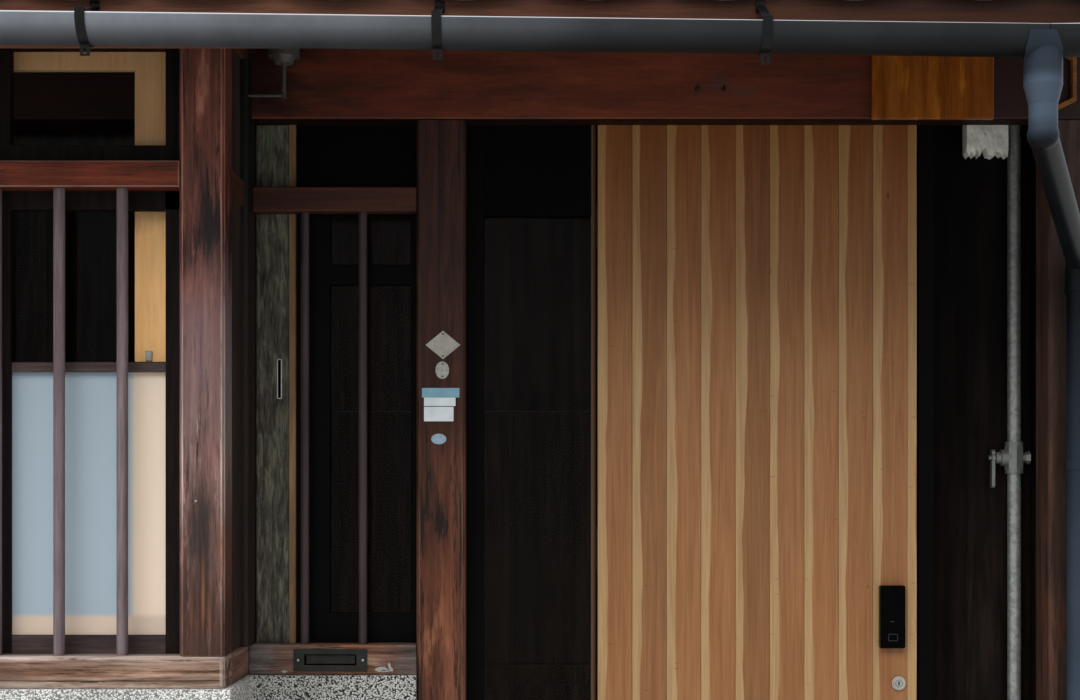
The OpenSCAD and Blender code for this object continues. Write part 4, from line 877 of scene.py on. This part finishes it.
def buildPlates():
    white = patchyFinish("aged white enamel plate", "#A8A59C", "#96938A", 0.03, 0.5, spots="#6A5F50")
    grey = patchyFinish("grey zinc plate", "#A8A6A0", "#8E8C86", 0.008, 0.45, 0.1)
    pale = patchyFinish("pale blue sticker", "#96AAB6", "#7896A8", 0.008, 0.4)
    paper = patchyFinish("white vinyl sticker", "#D4DCE0", "#C4CCD0", 0.04, 0.4)
    blue = patchyFinish("blue vinyl sticker", "#6A93A6", "#7CA2B2", 0.04, 0.4)
    thick, film, diamond = plateLook["thick"], plateLook["film"], plateLook["diamond"]
    half = diamond["side"] / 2
    shape = bmesh.new()
    x, z = seenAt(*diamond["spot"], frontY)
    made = addPlate(shape, x - half, x + half, z - half, z + half, frontY, thick,
                    turn=Matrix.Rotation(math.radians(diamond["turn"]), 3, "Y"))
    squash(shape, made, x, z, diamond["squash"])
    keepPiece(shape, "diamondPlate", white)
    for name, depth, finish in (("ovalPlate", thick, grey), ("paleOval", film, pale)):
        oval = plateLook["ovals"][name]
        shape = bmesh.new()
        x, z = seenAt(*oval["spot"], frontY)
        made = addRod(shape, (x, frontY, z), (x, frontY - depth, z), oval["radius"], plateLook["ovalSides"])
        squash(shape, made, x, z, oval["squash"])
        keepPiece(shape, name, finish)
    for name, finish in (("blueSticker", blue), ("upperSticker", paper), ("lowerSticker", paper)):
        left, top, right, bottom = stickerEdges[name]
        shape = bmesh.new()
        addPlate(shape, seenX(left, frontY), seenX(right, frontY), seenZ(bottom, frontY), seenZ(top, frontY),
                 frontY, film)
        keepPiece(shape, name, finish)
    shape = bmesh.new()
    for spot in plateLook["nails"]:
        x, z = seenAt(*spot, frontY)
        addBall(shape, (x, frontY - thick, z), plateLook["nail"])
    keepPiece(shape, "plateNails", agedIron, smooth=True)


buildPlates()
print("plates ready")


# screw eyes in the beam
eyeLook = {"spots": ((697, 89.5), (724, 89.5)), "ring": 7 * mm, "wire": 1.6 * mm, "out": 14 * mm,
           "shank": 1.8 * mm, "sunk": 4 * mm, "collar": 6 * mm, "collarDeep": 1.5 * mm, "turns": 18,
           "wireSides": 8, "shankSides": 10, "collarSides": 16}


def buildScrewEyes():
    look = eyeLook
    ring, out = look["ring"], look["out"]
    shape = bmesh.new()
    for spot in look["spots"]:
        x, z = seenAt(*spot, frontY)
        addRing(shape, (x, frontY - out, z), ring, look["wire"], "Y", look["turns"], look["wireSides"])
        addRod(shape, (x, frontY + look["sunk"], z), (x, frontY - out + ring, z), look["shank"],
               look["shankSides"])
        addRod(shape, (x, frontY, z), (x, frontY - look["collarDeep"], z), look["collar"],
               look["collarSides"])
    keepPiece(shape, "screwEyes", agedIron, smooth=True)


# straps that hang the gutter from the fascia
hangerLook = {"thick": 3 * mm, "lap": 6 * mm, "drop": 18 * mm, "plate": 26 * mm, "gap": 100 * mm,
              "nail": 3.5 * mm, "nailSides": 12, "edge": 0.5 * mm}


def buildHangers():
    # each bracket's strap runs on from the bead up and back to the fascia, where it is nailed
    bracketLow, fasciaLow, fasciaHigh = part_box("gutter_brackets")[0], *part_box("fascia")
    thick, plate, edge = hangerLook["thick"], hangerLook["plate"], hangerLook["edge"]
    front = sorted((v.co.x, v.co.z) for v in nodes["gutter_brackets"].data.vertices
                   if v.co.y < bracketLow.y + thick)
    straps = []
    for x, z in front:
        if not straps or x - straps[-1]["right"] > hangerLook["gap"]:
            straps.append({"left": x, "right": x, "top": z})
        straps[-1]["right"], straps[-1]["top"] = x, max(z, straps[-1]["top"])
    shape = bmesh.new()
    for strap in straps:
        middle, half = (strap["left"] + strap["right"]) / 2, (strap["right"] - strap["left"]) / 2
        start = Vector((middle, bracketLow.y + thick / 2, strap["top"] - hangerLook["lap"]))
        end = Vector((middle, fasciaLow.y - thick / 2, fasciaHigh.z - hangerLook["drop"]))
        run, centre, nailZ = end - start, (start + end) / 2, end.z + plate / 4
        turn = Matrix.Rotation(math.atan2(run.z, run.y) - math.pi / 2, 3, "X")
        size = Vector((half, thick / 2, run.length / 2))
        addBlock(shape, centre - size, centre + size, edge, turn=turn)
        addPlate(shape, middle - half, middle + half, end.z - plate / 2, end.z + plate / 2, fasciaLow.y,
                 thick, edge=edge)
        addRod(shape, (middle, fasciaLow.y, nailZ), (middle, fasciaLow.y - 2 * thick, nailZ),
               hangerLook["nail"], hangerLook["nailSides"])
    keepPiece(shape, "gutterHangers", strapPaint)


# the sashes' wide stiles and rubbed rails, placed in pixels of the photograph
sashLook = {"stileLeft": 165.6, "topRail": 209.5, "proud": 0.6 * mm, "meeting": 12,
            "rails": ((362.5, 372), (635.5, 655))}


def buildStiles():
    # the outer stiles of both sashes and the lower sash's top rail are wider than the rest
    proud = sashLook["proud"]
    shape = bmesh.new()
    low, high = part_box("bay_lower_sash")
    addBlock(shape, (low.x, low.y - proud, seenZ(sashLook["topRail"], low.y)), high)
    for node in ("bay_lower_sash", "bay_upper_sash"):
        low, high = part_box(node)
        wide = high.x - seenX(sashLook["stileLeft"], low.y)
        for left in (low.x, high.x - wide):
            addBlock(shape, (left, low.y - proud, low.z), (left + wide, high.y, high.z))
    keepPiece(shape, "sashStiles", sashWood)


def buildSashRails():
    # the middle and bottom rails of the lower sash, where the black is rubbed off along the grain
    shape = bmesh.new()
    (low, high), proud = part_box("bay_lower_sash"), sashLook["proud"]
    middle = (low.x + high.x) / 2
    inner, outer = [seenX(sashLook[pixel], low.y) - middle for pixel in ("meeting", "stileLeft")]
    for railTop, railBottom in sashLook["rails"]:
        top, bottom = seenZ(railTop, low.y), max(seenZ(railBottom, low.y), low.z)
        for left, right in ((middle - outer, middle - inner), (middle + inner, middle + outer)):
            addBlock(shape, (left, low.y - proud, bottom), (right, low.y + proud, top))
    keepPiece(shape, "sashRails", sashRailWood)


# scraps of an old white coat on the sill; each spot: centre x and y, half width and height in pixels
flakeLook = {"film": 0.8 * mm, "corners": 11, "ragged": 0.45, "seed": 5,
             "spots": ((381.5, 669.5, 5, 2.2), (385, 671, 4, 1.6), (389, 665.5, 1.2, 3.2), (391, 669, 2.2, 2),
                       (284, 671.5, 3, 1.8))}


def buildFlakes():
    dice = random.Random(flakeLook["seed"])
    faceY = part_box("middle_sill")[0].y
    size = pixelSize(faceY)
    shape = bmesh.new()
    for pixelX, pixelY, halfWide, halfHigh in flakeLook["spots"]:
        x, z = seenAt(pixelX, pixelY, faceY)
        made = bmesh.ops.create_circle(shape, cap_ends=True, segments=flakeLook["corners"], radius=1)["verts"]
        for v in made:
            reach = (1 + dice.uniform(-flakeLook["ragged"], flakeLook["ragged"])) * size
            v.co = Vector((x + v.co.x * reach * halfWide, faceY - flakeLook["film"],
                           z + v.co.y * reach * halfHigh))
    bmesh.ops.recalc_face_normals(shape, faces=shape.faces)
    keepPiece(shape, "paintFlakes", flakePaint)


# small fittings: post nail, window catch, panel pull, letter frame screws, lock marks and keyway
nailLook = {"spot": (196, 501), "head": 3 * mm, "out": 2.5 * mm, "sides": 12}


def buildPostNail():
    (x, z), out = seenAt(*nailLook["spot"], postFront), nailLook["out"]
    shape = bmesh.new()
    addRod(shape, (x, postFront + out, z), (x, postFront - out, z), nailLook["head"], nailLook["sides"])
    keepPiece(shape, "postNail", steel)


catchLook = {"spot": (149, 356), "knob": 9 * mm, "deep": 9 * mm, "plate": 4 * mm, "halfWide": 8 * mm,
             "halfHigh": 12 * mm, "edge": 1 * mm}


def buildCatch():
    faceY, wide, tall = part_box("bay_inner_frame")[0].y, catchLook["halfWide"], catchLook["halfHigh"]
    x, z = seenAt(*catchLook["spot"], faceY)
    shape = bmesh.new()
    addPlate(shape, x - wide, x + wide, z - tall, z + tall, faceY, catchLook["plate"], edge=catchLook["edge"])
    addRod(shape, (x, faceY, z), (x, faceY - catchLook["deep"], z), catchLook["knob"] / 2)
    keepPiece(shape, "windowCatch", steel)


pullLook = {"top": 359, "bottom": 399, "left": 277, "right": 282, "deep": 1.5 * mm, "lip": 2.5 * mm,
            "hollow": 0.4 * mm}


def buildPull():
    faceY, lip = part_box("rough_panel")[0].y, pullLook["lip"]
    left, top = seenAt(pullLook["left"], pullLook["top"], faceY)
    right, bottom = seenAt(pullLook["right"], pullLook["bottom"], faceY)
    shape = bmesh.new()
    addBorder(shape, left, right, bottom, top, lip, faceY, pullLook["deep"])
    keepPiece(shape, "panelPull", steel)
    # painted shade: the hollow of the pull is a thin black plate
    shape = bmesh.new()
    addPlate(shape, left + lip, right - lip, bottom + lip, top - lip, faceY, pullLook["hollow"])
    keepPiece(shape, "pullHollow", matteBlackAndShade)


screwLook = {"inset": 11 * mm, "head": 4 * mm, "flat": 0.45}


def buildLetterScrews():
    low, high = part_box("letter_frame")
    shape = bmesh.new()
    for x in (low.x + screwLook["inset"], high.x - screwLook["inset"]):
        addBall(shape, (x, low.y, (low.z + high.z) / 2), screwLook["head"], screwLook["flat"])
    keepPiece(shape, "letterScrews", steel, smooth=True)


markLook = {"film": 0.3 * mm, "line": (892.5, 621.7), "lineHalf": 5 * mm, "thin": 1.4 * mm,
            "square": (893.1, 637.5), "halfWide": 12 * mm, "halfHigh": 9 * mm}


def buildLockMarks():
    mark = patchyFinish("grey printed mark", "#2E3032", "#292B2D", 0.02, 0.4, relief=0)
    faceY, film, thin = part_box("lock_unit")[0].y, markLook["film"], markLook["thin"]
    line, wide, tall = markLook["lineHalf"], markLook["halfWide"], markLook["halfHigh"]
    shape = bmesh.new()
    x, z = seenAt(*markLook["line"], faceY)
    addPlate(shape, x - line, x + line, z - thin / 2, z + thin / 2, faceY, film)
    x, z = seenAt(*markLook["square"], faceY)
    addBorder(shape, x - wide, x + wide, z - tall, z + tall, thin, faceY, film)
    keepPiece(shape, "lockMarks", mark, "entrance_door")


keyLook = {"halfWide": 1.6 * mm, "halfHigh": 5 * mm, "ring": 8.5 * mm, "thin": 0.5 * mm, "film": 0.3 * mm,
           "turns": 28, "wireSides": 6}


def buildKeyway():
    low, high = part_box("lock_cylinder")
    x, z, wide, tall = (low.x + high.x) / 2, (low.z + high.z) / 2, keyLook["halfWide"], keyLook["halfHigh"]
    shape = bmesh.new()
    # painted shade: the keyway slot and a thin ring round it are black film on the cylinder face
    addPlate(shape, x - wide, x + wide, z - tall, z + tall, low.y, keyLook["film"])
    addRing(shape, (x, low.y, z), keyLook["ring"], keyLook["thin"], "X", keyLook["turns"],
            keyLook["wireSides"])
    keepPiece(shape, "keyway", matteBlackAndShade, "entrance_door")


for build in (buildScrewEyes, buildHangers, buildPostNail, buildStiles, buildSashRails, buildFlakes,
              buildCatch, buildKeyway, buildPull, buildLetterScrews, buildLockMarks):
    build()
print("fittings ready")


# ragged plaster left under the beam beside the gas pipe
plasterLook = {"rows": 14, "bands": 8, "least": 1 * mm, "ragged": 26 * mm, "rough": 2.4 * mm, "power": 1.5,
               "footShare": 0.9, "footBack": 6 * mm, "seed": 5}


def buildPlaster():
    low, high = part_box("plaster_remnant")
    dice, least = random.Random(plasterLook["seed"]), plasterLook["least"]
    shape = bmesh.new()
    addBlock(shape, low, high)
    for axis, cuts in (("x", plasterLook["rows"]), ("z", plasterLook["bands"])):
        long = [edge for edge in shape.edges
                if abs(getattr(edge.verts[0].co, axis) - getattr(edge.verts[1].co, axis)) > least]
        bmesh.ops.subdivide_edges(shape, edges=long, cuts=cuts, use_grid_fill=True)
    bite = {}
    for v in shape.verts:
        column = round((v.co.x - low.x) / (high.x - low.x) * (plasterLook["rows"] + 1))
        bite.setdefault(column, dice.random() ** plasterLook["power"] * plasterLook["ragged"])
        share = (high.z - v.co.z) / (high.z - low.z)
        v.co.z += bite[column] * share ** 2
        if v.co.y < high.y - least:
            foot = plasterLook["footBack"] if share > plasterLook["footShare"] else 0
            v.co.y += dice.uniform(0, plasterLook["rough"]) + foot
    keepPiece(shape, "raggedPlaster", oldPlaster, replaced="plaster_remnant")


buildPlaster()
print("plaster ready")


# light, floor and camera
studio = {"skyColour": "#E9EDF2", "skyStrength": 0.34, "skyShown": 0.85, "keyPower": 3.3, "keyWidth": 60,
          "keyFrom": (-1.4, -4.0, 5.4), "fillPower": 0.35, "fillFrom": (-3, -4, 1.2),
          "floorColour": "#D5D3CE", "floorSize": 40, "sensorWidth": 36}


def softLamp(name, power, wide, comesFrom):
    # an even light from far off, as soft as its width in degrees
    lamp = bpy.data.lights.new(name, "SUN")
    lamp.energy, lamp.angle = power, math.radians(wide)
    lampObject = bpy.data.objects.new(name, lamp)
    lampObject.visible_glossy = lampObject.visible_transmission = False
    lampObject.rotation_euler = Vector(comesFrom).to_track_quat("Z", "Y").to_euler()
    bpy.context.scene.collection.objects.link(lampObject)
    return lampObject


def layFloor():
    shape = bmesh.new()
    bmesh.ops.create_grid(shape, x_segments=1, y_segments=1, size=studio["floorSize"])
    mesh = bpy.data.meshes.new("studioFloor")
    shape.to_mesh(mesh)
    shape.free()
    floor = bpy.data.objects.new("studioFloor", mesh)
    bpy.context.scene.collection.objects.link(floor)
    material, shader = startMaterial("pale studio floor", 0.9)[:2]
    feed(shader, {"Base Color": studio["floorColour"]})
    mesh.materials.append(material)
    return floor


world = bpy.data.worlds.new("studioSky")
bpy.context.scene.world = world
world.use_nodes = True
add = partial(addNode, world.node_tree)
rays = add("LightPath").outputs
seen = rays["Is Camera Ray"]
for ray in ("Is Glossy Ray", "Is Transmission Ray"):
    seen = add("Math", {0: seen, 1: rays[ray]}, operation="MAXIMUM")
shown = add("MapRange", {"Value": seen, "To Min": studio["skyStrength"], "To Max": studio["skyShown"]})
feed(world.node_tree.nodes["Background"], {"Color": studio["skyColour"], "Strength": shown})
keyLamp = softLamp("keyLight", studio["keyPower"], studio["keyWidth"], studio["keyFrom"])
fillLamp = softLamp("fillLight", studio["fillPower"], studio["keyWidth"], studio["fillFrom"])
layFloor()
scene = bpy.context.scene
scene.view_settings.view_transform = "Standard"

camera = bpy.data.cameras.new("streetView")
camera.sensor_width = studio["sensorWidth"]
camera.lens = view["focalPixels"] / view["width"] * camera.sensor_width
camera.shift_y = (view["horizonPixel"] - view["imageMiddle"]) / view["width"]
cameraObject = bpy.data.objects.new("streetView", camera)
cameraObject.location = eye
cameraObject.rotation_euler = (math.radians(90), 0, 0)
scene.collection.objects.link(cameraObject)
scene.camera = cameraObject
print("stage ready")
